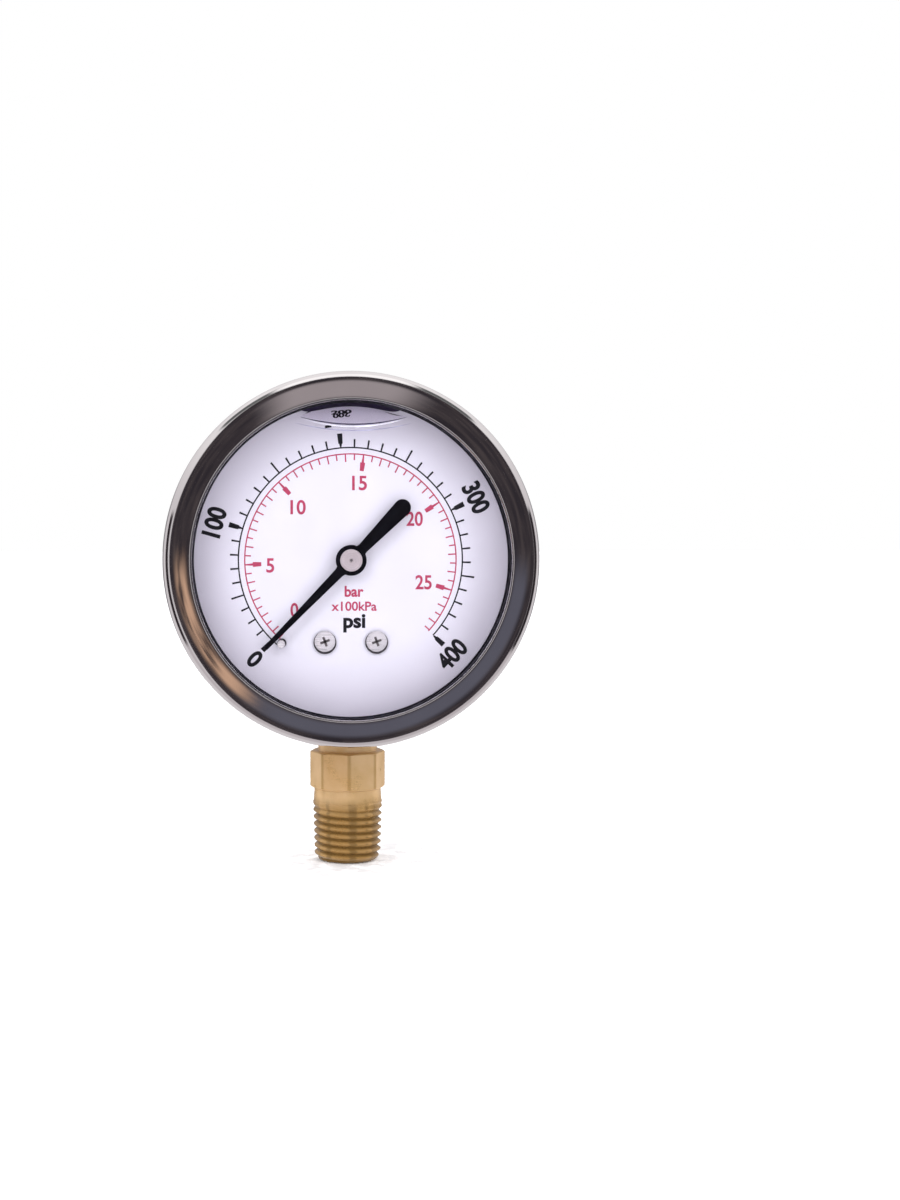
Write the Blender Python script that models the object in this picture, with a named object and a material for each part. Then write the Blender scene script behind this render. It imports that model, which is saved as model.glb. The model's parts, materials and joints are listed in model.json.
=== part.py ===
"""Liquid-filled Bourdon-tube pressure gauge, 63 mm size, bottom connection.

Units are metres. +Z is up, the dial faces -Y and +X is to the reader's right. The origin is the
centre of the threaded end of the stem, so the stem's axis is the Z axis and the dial's centre is
straight above it. Dial angles are measured clockwise from straight up, as the reader sees them.
"""
import bpy
import bmesh
from math import acos, asin, atan2, ceil, cos, hypot, pi, radians, sin, sqrt, tan

# ---- driving dimensions -----------------------------------------------------------------------
GAP = 0.0003                    # clearance between pieces that touch
TURN_STEPS = 48                 # facets round a large turned piece
SMALL_STEPS = 20                # facets round a small turned piece

DIAL_Z = 0.0594                 # dial centre above the stem's end
CASE_RADIUS = 0.0315
CASE_WALL = 0.0008
CASE_BACK_Y = 0.0093
BACK_ROUND = 0.0016             # radius of the case's rear edge
BEZEL_RADIUS = 0.0352
BEZEL_REAR_Y = -0.0154
BEZEL_DEPTH = 0.0068
BEZEL_SHEET = 0.0007
LIP_RADIUS = 0.0296             # opening of the bezel's front lip
WINDOW_RADIUS = 0.0320
WINDOW_REAR_Y = -0.0181
WINDOW_FRONT_Y = -0.0199

DIAL_RADIUS = 0.0303
DIAL_FRONT_Y = -0.0139
DIAL_THICKNESS = 0.0004
POINTER_ZERO = radians(-135.7)
POINTER_TRAVEL = radians(268.1)
POINTER_REAR_Y = -0.0159
POINTER_THICKNESS = 0.0005
POINTER_REACH = 0.0232          # tip of the pointer from its axis
HUB_RADIUS = 0.0029
BUSH_FLANGE_RADIUS = 0.0021
BUSH_BARREL_RADIUS = 0.0012
STOP_PIN_ANGLE = radians(-140.2)
STOP_PIN_RING = 0.0204
DIAL_SCREW_X = 0.0049
DIAL_SCREW_Z = DIAL_Z - 0.0156

PLUG_Y = -0.0028
PLUG_HEAD_RADIUS = 0.0064
PLUG_HEAD_HEIGHT = 0.0020
PLUG_SHANK_RADIUS = 0.0050

STEM_STEPS = 32                 # facets round the stem, a multiple of eight for its octagon
THREAD_PITCH = 0.0254 / 18      # 1/4-18 NPT
THREAD_TAPER = 1 / 32           # fall in radius for each unit of length
THREAD_DEPTH = 0.00070
THREAD_LOW_Z = 0.0
THREAD_TOP_Z = 0.0114
THREAD_TOP_RADIUS = 0.00685
SHANK_RADIUS = 0.0067
END_RADIUS = 0.0058             # chamfered end of the thread
OCTAGON_LOW_Z = 0.0141
OCTAGON_TOP_Z = 0.0215
OCTAGON_APOTHEM = 0.0069
NECK_RADIUS = 0.0058
COLLAR_LOW_Z = 0.0247
COLLAR_TOP_Z = 0.0264
COLLAR_RADIUS = 0.0071
SPIGOT_RADIUS = 0.0060
CORE_RADIUS = 0.0036            # the loft's last stretch, inside the block
WASHER_RADIUS = 0.00765
WASHER_THICKNESS = 0.0009
BORE_RADIUS = 0.0025
PASSAGE_RADIUS = 0.0015
HEAD_LOW_Z = 0.0316             # block at the top of the stem, inside the case
HEAD_TOP_Z = 0.0460
HEAD_HALF_WIDTH = 0.0070
HEAD_FRONT_Y = -0.0040

TUBE_RING = 0.0225              # centre line radius of the Bourdon tube
TUBE_Y = 0.0010
TUBE_WIDTH = 0.0100
TUBE_THICKNESS = 0.0028
TUBE_WALL = 0.00035
TUBE_END = radians(135)
TUBE_STATIONS = 22
TUBE_FACETS = 10

MODULE = 0.0003                 # gear module of the movement
PINION_TEETH = 12
SECTOR_FULL_TEETH = 96          # teeth of the whole wheel that the sector is cut from
SECTOR_TEETH = 13
PRESSURE_ANGLE = radians(20)
BACKLASH = 0.00008
PIVOT_Z = DIAL_Z - MODULE * (PINION_TEETH + SECTOR_FULL_TEETH) / 2
SECTOR_SWING = POINTER_TRAVEL * PINION_TEETH / SECTOR_FULL_TEETH
SECTOR_REAR_Y = -0.0074
SECTOR_FRONT_Y = -0.0084
ARBOR_RADIUS = 0.0007
ARBOR_FRONT_Y = -0.0166
PIVOT_HOLE_RADIUS = 0.0011
SCREW_HOLE_RADIUS = 0.0013
TAIL_LENGTH = 0.0050
TAIL_REST = radians(186)        # direction of the sector's tail at rest, clockwise from up
TIP_PIN_X = 0.0109
TIP_PIN_Z = 0.0389
LINK_PIN_RADIUS = 0.0005
LINK_FRONT_Y = -0.0093
LINK_REAR_Y = -0.0086

BACK_PLATE_Y = (-0.0053, -0.0043)
FRONT_PLATE_Y = (-0.0110, -0.0100)
PILLAR_X = 0.0102
PILLAR_Z = 0.0490
MOVEMENT_SCREW_X = 0.0050
MOVEMENT_SCREW_Z = 0.0362
SPRING_Y = (-0.0066, -0.0060)
SPRING_RADII = (0.0019, 0.0052)
SPRING_TURNS = 4.5
SPRING_THICKNESS = 0.00012


# ---- mesh helpers -----------------------------------------------------------------------------
class Skin:
    """Collects faces by position, so that points which coincide become one vertex."""

    def __init__(self):
        self.index = {}
        self.points = []
        self.faces = []

    def point(self, co):
        key = tuple(round(value, 8) for value in co)
        if key not in self.index:
            self.index[key] = len(self.points)
            self.points.append(co)
        return self.index[key]

    def face(self, corners):
        ring = []
        for co in corners:
            number = self.point(co)
            if number not in ring:
                ring.append(number)
        if len(ring) > 2:
            self.faces.append(ring)

    def band(self, ring_a, ring_b):
        """Joins two closed rings of equally many points with four-sided faces."""
        count = len(ring_a)
        for i in range(count):
            j = (i + 1) % count
            self.face((ring_a[i], ring_a[j], ring_b[j], ring_b[i]))

    def make(self, name, material, at=(0, 0, 0), turn=0.0):
        """Makes the object, with its origin at the point at and turned about Y there."""
        mesh = bpy.data.meshes.new(name)
        mesh.from_pydata(self.points, [], self.faces)
        tidy = bmesh.new()
        tidy.from_mesh(mesh)
        bmesh.ops.recalc_face_normals(tidy, faces=tidy.faces)
        tidy.to_mesh(mesh)
        tidy.free()
        mesh.shade_smooth()
        mesh.set_sharp_from_angle(angle=radians(30))
        obj = bpy.data.objects.new(name, mesh)
        obj.location = at
        obj.rotation_euler.y = turn
        bpy.context.collection.objects.link(obj)
        mesh.materials.append(material)
        return obj


def paint(name, colour, roughness, metallic=0.0, alpha=1.0):
    material = bpy.data.materials.new(name)
    material.use_nodes = True
    shader = material.node_tree.nodes["Principled BSDF"]
    shader.inputs["Base Color"].default_value = (*colour, 1.0)
    shader.inputs["Roughness"].default_value = roughness
    shader.inputs["Metallic"].default_value = metallic
    shader.inputs["Alpha"].default_value = alpha
    return material


def turned(name, profile, material, axis="Y", at=(0, 0, 0), steps=TURN_STEPS, turn=0.0):
    """Turns a closed profile of (radius, height) points about the axis through at."""
    skin = Skin()
    rings = []
    for radius, height in profile:
        ring = []
        for i in range(steps):
            angle = 2 * pi * i / steps
            across = (radius * sin(angle), radius * cos(angle))
            co = (across[0], height, across[1]) if axis == "Y" else (across[0], across[1], height)
            ring.append(co)
        rings.append(ring)
    for i in range(len(rings)):
        skin.band(rings[i], rings[(i + 1) % len(rings)])
    return skin.make(name, material, at, turn)


def prism(name, outline, y_range, material, at=(0, 0, 0), turn=0.0):
    """Extrudes an outline of (x, z) points along Y."""
    skin = Skin()
    front = [(x, y_range[0], z) for x, z in outline]
    rear = [(x, y_range[1], z) for x, z in outline]
    skin.face(front)
    skin.face(rear)
    skin.band(front, rear)
    return skin.make(name, material, at, turn)


def rod(name, radius, y_range, material, at=(0, 0, 0), steps=SMALL_STEPS):
    low, high = y_range
    profile = [(0, low), (radius, low), (radius, high), (0, high)]
    return turned(name, profile, material, "Y", at, steps)


def arc(centre, radius, start, end, steps):
    """Points of an arc, by clockwise angles from straight up, as (x, z)."""
    points = []
    for i in range(steps + 1):
        angle = start + (end - start) * i / steps
        points.append((centre[0] + radius * sin(angle), centre[1] + radius * cos(angle)))
    return points


def rounded(corners, radius, steps=4):
    """Replaces each corner of an (x, z) outline with a curve that starts radius away from it."""
    outline = []
    count = len(corners)
    for i, corner in enumerate(corners):
        ends = []
        for other in (corners[i - 1], corners[(i + 1) % count]):
            reach = hypot(other[0] - corner[0], other[1] - corner[1])
            share = min(radius / reach, 0.45)
            ends.append(tuple(corner[k] + (other[k] - corner[k]) * share for k in (0, 1)))
        for step in range(steps + 1):
            t = step / steps
            weights = ((1 - t) ** 2, 2 * t * (1 - t), t ** 2)
            points = (ends[0], corner, ends[1])
            outline.append(tuple(sum(w * p[k] for w, p in zip(weights, points)) for k in (0, 1)))
    return outline


def combine(target, other, operation):
    """Adds or cuts away the shape of another object, which stays only as a hidden guide."""
    other.hide_render = True
    other.display_type = "WIRE"
    modifier = target.modifiers.new(other.name, "BOOLEAN")
    modifier.object = other
    modifier.operation = operation
    modifier.solver = "EXACT"


def holes(target, places, y_range, steps=SMALL_STEPS):
    """Drills round holes along Y through a plate, at places given as (x, z, radius)."""
    skin = Skin()
    for x, z, radius in places:
        rims = []
        for y in y_range:
            rims.append([(x + radius * sin(2 * pi * i / steps), y, z + radius * cos(2 * pi * i / steps))
                         for i in range(steps)])
        skin.band(rims[0], rims[1])
        skin.face(rims[0])
        skin.face(rims[1])
    cutter = skin.make(target.name + "_holes", target.data.materials[0])
    combine(target, cutter, "DIFFERENCE")


def through(y_range):
    """A cutter's reach: a little past both faces of a plate."""
    return (y_range[0] - 0.001, y_range[1] + 0.001)


# ---- case, bezel and window -------------------------------------------------------------------
def make_case(steel):
    inner = CASE_RADIUS - CASE_WALL
    flange_y = BEZEL_REAR_Y - BEZEL_SHEET - GAP
    front_y = flange_y - 0.0006
    flange_radius = BEZEL_RADIUS - 0.0013
    profile = [(0, CASE_BACK_Y)]
    for step in range(5):
        angle = step * pi / 8
        profile.append((CASE_RADIUS - BACK_ROUND * (1 - sin(angle)),
                        CASE_BACK_Y - BACK_ROUND * (1 - cos(angle))))
    inner_back = CASE_BACK_Y - CASE_WALL
    profile += [(CASE_RADIUS, flange_y), (flange_radius, flange_y), (flange_radius, front_y),
                (inner, front_y), (inner, CASE_BACK_Y - BACK_ROUND), (inner - CASE_WALL, inner_back),
                (0, inner_back)]
    case = turned("case", profile, steel, at=(0, 0, DIAL_Z))
    outlet = turned("case_stem_hole", [(0, 0.020), (SPIGOT_RADIUS + GAP, 0.020),
                                       (SPIGOT_RADIUS + GAP, 0.036), (0, 0.036)], steel, "Z", steps=40)
    combine(case, outlet, "DIFFERENCE")
    filler = turned("case_plug_hole", [(0, 0.085), (PLUG_SHANK_RADIUS + GAP, 0.085),
                                       (PLUG_SHANK_RADIUS + GAP, 0.095), (0, 0.095)],
                    steel, "Z", (0, PLUG_Y, 0), steps=32)
    combine(case, filler, "DIFFERENCE")


def make_bezel(steel):
    """A ring of sheet crimped over the case's flange: rear curl, outer wall and sloping front."""
    rear = BEZEL_REAR_Y
    front = rear - BEZEL_DEPTH
    outside = [(BEZEL_RADIUS, rear), (BEZEL_RADIUS, rear - 0.0031), (0.0349, rear - 0.0039),
               (0.0340, rear - 0.0047), (0.0332, rear - 0.0055), (0.0315, rear - 0.0063),
               (LIP_RADIUS, front)]
    inside = [(LIP_RADIUS, front + BEZEL_SHEET), (0.0313, rear - 0.0056), (0.0328, rear - 0.0048),
              (0.0336, rear - 0.0041), (0.0342, rear - 0.0034), (0.0344, rear - 0.0028),
              (0.0344, rear - BEZEL_SHEET), (CASE_RADIUS + GAP, rear - BEZEL_SHEET)]
    profile = outside + inside + [(CASE_RADIUS + GAP, rear)]
    turned("bezel", profile, steel, at=(0, 0, DIAL_Z))


def make_window(clear, rubber):
    profile = [(0, WINDOW_FRONT_Y), (WINDOW_RADIUS, WINDOW_FRONT_Y),
               (WINDOW_RADIUS, WINDOW_REAR_Y), (0, WINDOW_REAR_Y)]
    turned("window", profile, clear, at=(0, 0, DIAL_Z))
    leg = 0.0005
    front = WINDOW_FRONT_Y - GAP
    rear = WINDOW_REAR_Y + GAP
    opening = LIP_RADIUS - 0.0002
    groove = WINDOW_RADIUS + GAP
    outer = groove + 0.0009
    gasket = [(opening, front - leg), (groove - 0.0009, front - leg), (outer, front + 0.0007),
              (outer, rear + leg), (opening, rear + leg), (opening, rear), (groove, rear),
              (groove, front), (opening, front)]
    turned("window_gasket", gasket, rubber, at=(0, 0, DIAL_Z))


def make_fill_plug(rubber):
    """Rubber plug whose domed head is saddled to the round case; it pulls out upwards."""
    top = CASE_RADIUS + PLUG_HEAD_HEIGHT
    edge = CASE_RADIUS + 0.0006
    rise = top - edge
    profile = [(0, CASE_RADIUS - 0.0062), (PLUG_SHANK_RADIUS - 0.0008, CASE_RADIUS - 0.0062),
               (PLUG_SHANK_RADIUS, CASE_RADIUS - 0.0050), (PLUG_SHANK_RADIUS, CASE_RADIUS - 0.0022),
               (PLUG_SHANK_RADIUS - 0.0004, CASE_RADIUS - 0.0016),
               (PLUG_SHANK_RADIUS - 0.0004, CASE_RADIUS - 0.0002),
               (PLUG_HEAD_RADIUS, CASE_RADIUS - 0.0012), (PLUG_HEAD_RADIUS, edge)]
    for step in range(1, 6):
        angle = step * pi / 10
        profile.append((PLUG_HEAD_RADIUS * cos(angle), edge + rise * sin(angle)))
    plug = turned("fill_plug", profile, rubber, "Z", (0, PLUG_Y, DIAL_Z), steps=24)
    saddle = saddle_shell("fill_plug_saddle", PLUG_SHANK_RADIUS - 0.0004, PLUG_HEAD_RADIUS + 0.0010,
                          lambda x: sqrt((CASE_RADIUS + GAP) ** 2 - x * x),
                          lambda x: CASE_RADIUS - 0.0020, rubber, (0, PLUG_Y, DIAL_Z), 32)
    combine(plug, saddle, "DIFFERENCE")


def saddle_shell(name, inner, outer, top, bottom, material, at, steps=STEM_STEPS):
    """A ring about Z whose upper and lower faces follow curves across X."""
    skin = Skin()
    rings = []
    for radius, height in ((inner, top), (outer, top), (outer, bottom), (inner, bottom)):
        ring = []
        for i in range(steps):
            angle = 2 * pi * i / steps
            x = radius * sin(angle)
            ring.append((x, radius * cos(angle), height(x)))
        rings.append(ring)
    for i in range(4):
        skin.band(rings[i], rings[(i + 1) % 4])
    return skin.make(name, material, at)


# ---- stem -------------------------------------------------------------------------------------
def thread_radius(z, groove):
    """Radius of the tapered thread, fading into the shank above and the chamfer below."""
    fade = min(1.0, max(0.0, (THREAD_TOP_Z - z) / THREAD_PITCH))
    full = THREAD_TOP_RADIUS - THREAD_TAPER * (THREAD_TOP_Z - z)
    chamfer = END_RADIUS + (z - THREAD_LOW_Z) * 0.75
    return min(full - THREAD_DEPTH * groove * fade, chamfer)


def add_thread(skin):
    """Rows of points along the helix, four to a turn, clamped to the thread's end planes."""
    phases = ((0.00, 0.0), (0.14, 0.0), (0.50, 1.0), (0.64, 1.0))
    turns = ceil((THREAD_TOP_Z - THREAD_LOW_Z) / THREAD_PITCH) + 1

    def spot(row, column):
        row += 4 * (column // STEM_STEPS)
        column %= STEM_STEPS
        share, groove = phases[row % 4]
        z = THREAD_LOW_Z + THREAD_PITCH * (row // 4 - 1 + share + column / STEM_STEPS)
        z = min(THREAD_TOP_Z, max(THREAD_LOW_Z, z))
        radius = thread_radius(z, groove)
        angle = 2 * pi * column / STEM_STEPS
        return (radius * sin(angle), radius * cos(angle), z)

    for row in range(4 * turns + 4):
        for column in range(STEM_STEPS):
            skin.face((spot(row, column), spot(row, column + 1),
                       spot(row + 1, column + 1), spot(row + 1, column)))


def octagon_radius(angle):
    eighth = pi / 4
    return OCTAGON_APOTHEM / cos(angle % eighth - eighth / 2)


def stem_ring(z, radius, octagonal=False):
    ring = []
    for i in range(STEM_STEPS):
        angle = 2 * pi * i / STEM_STEPS
        reach = min(radius, octagon_radius(angle)) if octagonal else radius
        ring.append((reach * sin(angle), reach * cos(angle), z))
    return ring


def make_stem(brass):
    """Thread, shank, octagon, neck, collar and spigot in one loft, then the block on top."""
    skin = Skin()
    corner = OCTAGON_APOTHEM / cos(pi / 8)
    step = (corner - OCTAGON_APOTHEM) / 2
    slope = tan(radians(30))
    add_thread(skin)
    rings = [stem_ring(THREAD_TOP_Z, THREAD_TOP_RADIUS), stem_ring(THREAD_TOP_Z + 0.0002, SHANK_RADIUS),
             stem_ring(OCTAGON_LOW_Z, SHANK_RADIUS)]
    for i in range(4):
        reach = OCTAGON_APOTHEM - step + i * step
        rings.append(stem_ring(OCTAGON_LOW_Z + i * step * slope, reach, True))
    for i in range(3, -1, -1):
        reach = OCTAGON_APOTHEM - step + i * step
        rings.append(stem_ring(OCTAGON_TOP_Z - i * step * slope, reach, True))
    rings += [stem_ring(OCTAGON_TOP_Z, NECK_RADIUS), stem_ring(COLLAR_LOW_Z, NECK_RADIUS),
              stem_ring(COLLAR_LOW_Z, COLLAR_RADIUS), stem_ring(COLLAR_TOP_Z, COLLAR_RADIUS),
              stem_ring(COLLAR_TOP_Z, SPIGOT_RADIUS), stem_ring(HEAD_LOW_Z + 0.001, SPIGOT_RADIUS),
              stem_ring(HEAD_LOW_Z + 0.001, CORE_RADIUS), stem_ring(HEAD_TOP_Z - 0.001, CORE_RADIUS)]
    for lower, upper in zip(rings, rings[1:]):
        skin.band(lower, upper)
    skin.face(rings[-1])
    skin.face(stem_ring(THREAD_LOW_Z, END_RADIUS))
    stem = skin.make("stem", brass)
    outline = rounded([(-HEAD_HALF_WIDTH, HEAD_LOW_Z), (HEAD_HALF_WIDTH, HEAD_LOW_Z),
                       (HEAD_HALF_WIDTH, HEAD_TOP_Z), (-HEAD_HALF_WIDTH, HEAD_TOP_Z)], 0.0012, 2)
    block = prism("stem_block", outline, (HEAD_FRONT_Y, CASE_BACK_Y - CASE_WALL - GAP), brass)
    combine(stem, block, "UNION")
    bore = turned("stem_bore", [(0, -0.001), (BORE_RADIUS + 0.0015, -0.001), (BORE_RADIUS, 0.0005),
                                (BORE_RADIUS, 0.008), (PASSAGE_RADIUS, 0.009),
                                (PASSAGE_RADIUS, 0.0395), (0, 0.0405)], brass, "Z", steps=24)
    combine(stem, bore, "DIFFERENCE")
    side = turned("stem_side_bore", [(0, -0.012), (0.0011, -0.012), (0.0011, 0.0), (0, 0.0)],
                  brass, "Z", (0, TUBE_Y - 0.0005, tube_start_z()), steps=16)
    side.rotation_euler.y = pi / 2
    combine(stem, side, "DIFFERENCE")
    screws = [(side * MOVEMENT_SCREW_X, MOVEMENT_SCREW_Z, SCREW_HOLE_RADIUS) for side in (-1, 1)]
    holes(stem, screws, (HEAD_FRONT_Y - 0.001, 0.0010), 16)


def make_stem_fittings(steel, rubber, brass):
    """Saddle washer outside the case, seal inside it and the restrictor in the inlet."""
    outside = CASE_RADIUS + GAP
    below = outside + WASHER_THICKNESS
    saddle_shell("stem_washer", SPIGOT_RADIUS + GAP, WASHER_RADIUS,
                 lambda x: -sqrt(outside ** 2 - x * x), lambda x: -sqrt(below ** 2 - x * x),
                 steel, (0, 0, DIAL_Z))
    inside = CASE_RADIUS - CASE_WALL - GAP
    saddle_shell("stem_seal", SPIGOT_RADIUS + GAP, WASHER_RADIUS - 0.0002,
                 lambda x: HEAD_LOW_Z - GAP - DIAL_Z, lambda x: -sqrt(inside ** 2 - x * x),
                 rubber, (0, 0, DIAL_Z))
    turned("restrictor_screw", [(0.0004, 0.0026), (BORE_RADIUS - GAP, 0.0026),
                                (BORE_RADIUS - GAP, 0.0058), (0.0004, 0.0058)], brass, "Z", steps=24)


# ---- Bourdon tube and its tip -----------------------------------------------------------------
def tube_start_angle():
    """Where the tube leaves the left side of the stem's block."""
    return pi + asin((HEAD_HALF_WIDTH + 0.00085) / TUBE_RING)


def tube_start_z():
    return DIAL_Z + TUBE_RING * cos(tube_start_angle())


def tube_ring(angle, shrink):
    """One flattened cross-section of the tube, shrink in from its outer surface."""
    ring = []
    for i in range(TUBE_FACETS):
        around = 2 * pi * i / TUBE_FACETS
        flat = abs(cos(around)) ** 0.55 * (1 if cos(around) > 0 else -1)
        across = (TUBE_THICKNESS / 2 - shrink) * sin(around)
        y = TUBE_Y + (TUBE_WIDTH / 2 - shrink) * flat
        reach = TUBE_RING + across
        ring.append((reach * sin(angle), y, DIAL_Z + reach * cos(angle)))
    return ring


def make_bourdon_tube(bronze):
    """A flattened tube bent to a C, open where it enters the stem and closed at its tip."""
    start = tube_start_angle() - 2 * pi
    skin = Skin()
    shells = []
    for shrink, stop in ((0.0, TUBE_END), (TUBE_WALL, TUBE_END - radians(3))):
        rings = []
        for i in range(TUBE_STATIONS + 1):
            rings.append(tube_ring(start + (stop - start) * i / TUBE_STATIONS, shrink))
        for near, far in zip(rings, rings[1:]):
            skin.band(near, far)
        skin.face(rings[-1])
        shells.append(rings)
    skin.band(shells[0][0], shells[1][0])
    skin.make("bourdon_tube", bronze)


def capsule(start, end, eye, bar, steps=7):
    """Outline of a bar with a round eye at each end, as (x, z) points."""
    heading = atan2(end[0] - start[0], end[1] - start[1])
    open_angle = asin(bar / eye)
    first = arc(end, eye, heading - pi + open_angle, heading + pi - open_angle, 2 * steps)
    second = arc(start, eye, heading + open_angle, heading + 2 * pi - open_angle, 2 * steps)
    return first + second


def shifted(outline, origin):
    return [(x - origin[0], z - origin[1]) for x, z in outline]


def make_tube_tip(brass, steel):
    """Block on the end of the tube, with a lug reaching forward to the link's pin."""
    pin = (TIP_PIN_X, TIP_PIN_Z)
    near = TUBE_END + GAP / TUBE_RING * 1.2
    far = TUBE_END + radians(9)
    corners = []
    for angle, reach in ((near, 0.0205), (near, 0.0245), (far, 0.0245), (far, 0.0205)):
        corners.append((reach * sin(angle), DIAL_Z + reach * cos(angle)))
    block = prism("tube_tip", shifted(rounded(corners, 0.0004, 2), pin),
                  (SECTOR_FRONT_Y + 0.0001, 0.0056), brass, at=(pin[0], 0, pin[1]))
    root = (0.0144, DIAL_Z - 0.0172)
    lug = prism("tube_tip_lug", capsule(pin, root, 0.0015, 0.0012),
                (SECTOR_FRONT_Y + 0.0001, SECTOR_REAR_Y - 0.0001), brass)
    combine(block, lug, "UNION")
    holes(block, [(pin[0], pin[1], LINK_PIN_RADIUS + GAP)], through((SECTOR_FRONT_Y, SECTOR_REAR_Y)), 16)
    link_pin("tip_pin", pin, steel)


def link_pin(name, place, steel):
    profile = [(0, LINK_FRONT_Y - 0.0009), (0.0007, LINK_FRONT_Y - 0.0009), (0.0010, LINK_FRONT_Y - 0.0006),
               (0.0010, LINK_FRONT_Y - GAP), (LINK_PIN_RADIUS, LINK_FRONT_Y - GAP),
               (LINK_PIN_RADIUS, SECTOR_REAR_Y + 0.0004), (0, SECTOR_REAR_Y + 0.0004)]
    turned(name, profile, steel, at=(place[0], 0, place[1]), steps=16)


def tail_pin_place():
    return (TAIL_LENGTH * sin(TAIL_REST), PIVOT_Z + TAIL_LENGTH * cos(TAIL_REST))


def make_link(steel):
    """Link from the tube's tip to the sector's tail, whose eye has room for the open pivot."""
    tip = (TIP_PIN_X, TIP_PIN_Z)
    tail = tail_pin_place()
    outline = shifted(capsule(tail, tip, 0.0015, 0.0007), tip)
    link = prism("link", outline, (LINK_FRONT_Y, LINK_REAR_Y), steel, at=(tip[0], 0, tip[1]))
    holes(link, [(tip[0], tip[1], LINK_PIN_RADIUS + GAP), (tail[0], tail[1], LINK_PIN_RADIUS + 0.0004)],
          through((LINK_FRONT_Y, LINK_REAR_Y)), 16)


# ---- gears ------------------------------------------------------------------------------------
def involute(angle):
    return tan(angle) - angle


def tooth_flank(teeth, addendum, dedendum):
    """Half of a tooth as (radius, half angle) points from its root to its tip."""
    pitch = MODULE * teeth / 2
    base = pitch * cos(PRESSURE_ANGLE)
    root = pitch - dedendum * MODULE
    tip = pitch + addendum * MODULE
    low = max(base, root)
    radii = [low + (tip - low) * i / 3 for i in range(4)]
    if root < base:
        radii.insert(0, root)
    half = (pi * MODULE / 2 - BACKLASH) / 2 / pitch + involute(PRESSURE_ANGLE)
    return [(r, half - involute(acos(min(1.0, base / r)))) for r in radii]


def teeth_outline(teeth, count, addendum, dedendum):
    """Outline of count neighbouring teeth, the middle one pointing straight up."""
    flank = tooth_flank(teeth, addendum, dedendum)
    points = []
    for i in range(count):
        middle = 2 * pi * (i - (count - 1) / 2) / teeth
        points += [(r * sin(middle - half), r * cos(middle - half)) for r, half in flank]
        points += [(r * sin(middle + half), r * cos(middle + half)) for r, half in reversed(flank)]
    return points


def make_pinion(steel):
    """Pinion and its arbor, which carries the hairspring's collet and the pointer."""
    at = (0, 0, DIAL_Z)
    # In mid travel the sector's middle tooth meets a gap; the rest pose is half the travel before it.
    turn = pi - POINTER_TRAVEL / 2
    outline = teeth_outline(PINION_TEETH, PINION_TEETH, 1.0, 1.25)
    face = (SECTOR_FRONT_Y - 0.0004, SECTOR_REAR_Y + 0.0004)
    pinion = prism("pinion_arbor", outline, face, steel, at, turn)
    arbor = rod("pinion_arbor_shaft", ARBOR_RADIUS, (ARBOR_FRONT_Y, -0.0046), steel, at, 16)
    combine(pinion, arbor, "UNION")


def make_sector(brass, steel):
    at = (0, 0, PIVOT_Z)
    turn = SECTOR_SWING / 2
    tail_angle = TAIL_REST - turn
    half = SECTOR_TEETH * pi / SECTOR_FULL_TEETH
    rim = teeth_outline(SECTOR_FULL_TEETH, SECTOR_TEETH, 0.7, 1.25)
    tail_end = (TAIL_LENGTH * sin(tail_angle), TAIL_LENGTH * cos(tail_angle))
    hub = 0.0022
    outline = rim + [(0.0124 * sin(half), 0.0124 * cos(half))]
    outline += arc((0, 0), hub, radians(62), tail_angle - radians(38), 5)
    outline += arc(tail_end, 0.0013, tail_angle - pi / 2, tail_angle + pi / 2, 8)
    outline += arc((0, 0), hub, tail_angle + radians(38), 2 * pi - radians(62), 5)
    outline += [(0.0124 * sin(-half), 0.0124 * cos(half))]
    sector = prism("sector_gear", outline, (SECTOR_FRONT_Y, SECTOR_REAR_Y), brass, at, turn)
    tail = tail_pin_place()
    holes(sector, [(0, PIVOT_Z, PIVOT_HOLE_RADIUS), (tail[0], tail[1], LINK_PIN_RADIUS + GAP)],
          through((SECTOR_FRONT_Y, SECTOR_REAR_Y)), 16)
    front, rear = -0.0107, -0.0046
    flange = (SECTOR_REAR_Y + GAP, SECTOR_REAR_Y + 0.0010)
    profile = [(0, front), (0.0008, front), (0.0008, flange[0]), (0.0019, flange[0]),
               (0.0019, flange[1]), (0.0008, flange[1]), (0.0008, rear), (0, rear)]
    turned("sector_arbor", profile, steel, at=at, steps=16)
    link_pin("sector_pin", tail, steel)


# ---- movement frame ---------------------------------------------------------------------------
def make_plates(brass):
    upper = [(0.0122, 0.0535), (0.0045, 0.0632), (-0.0045, 0.0632), (-0.0122, 0.0535), (-0.0122, 0.0460)]
    back = upper + [(-0.0072, 0.0415), (-0.0072, 0.0338), (0.0072, 0.0338), (0.0072, 0.0415),
                    (0.0122, 0.0460)]
    front = upper + [(-0.0075, 0.0405), (0.0075, 0.0405), (0.0122, 0.0460)]
    pivots = [(0, DIAL_Z, ARBOR_RADIUS + GAP), (0, PIVOT_Z, PIVOT_HOLE_RADIUS)]
    back_plate = prism("movement_back_plate", rounded(back, 0.0012, 3), BACK_PLATE_Y, brass)
    fixings = [(side * MOVEMENT_SCREW_X, MOVEMENT_SCREW_Z, SCREW_HOLE_RADIUS) for side in (-1, 1)]
    holes(back_plate, pivots + fixings, through(BACK_PLATE_Y), 16)
    front_plate = prism("movement_front_plate", rounded(front, 0.0012, 3), FRONT_PLATE_Y, brass)
    fixings = [(side * PILLAR_X, PILLAR_Z, 0.0011) for side in (-1, 1)]
    holes(front_plate, pivots + fixings, through(FRONT_PLATE_Y), 16)


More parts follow.
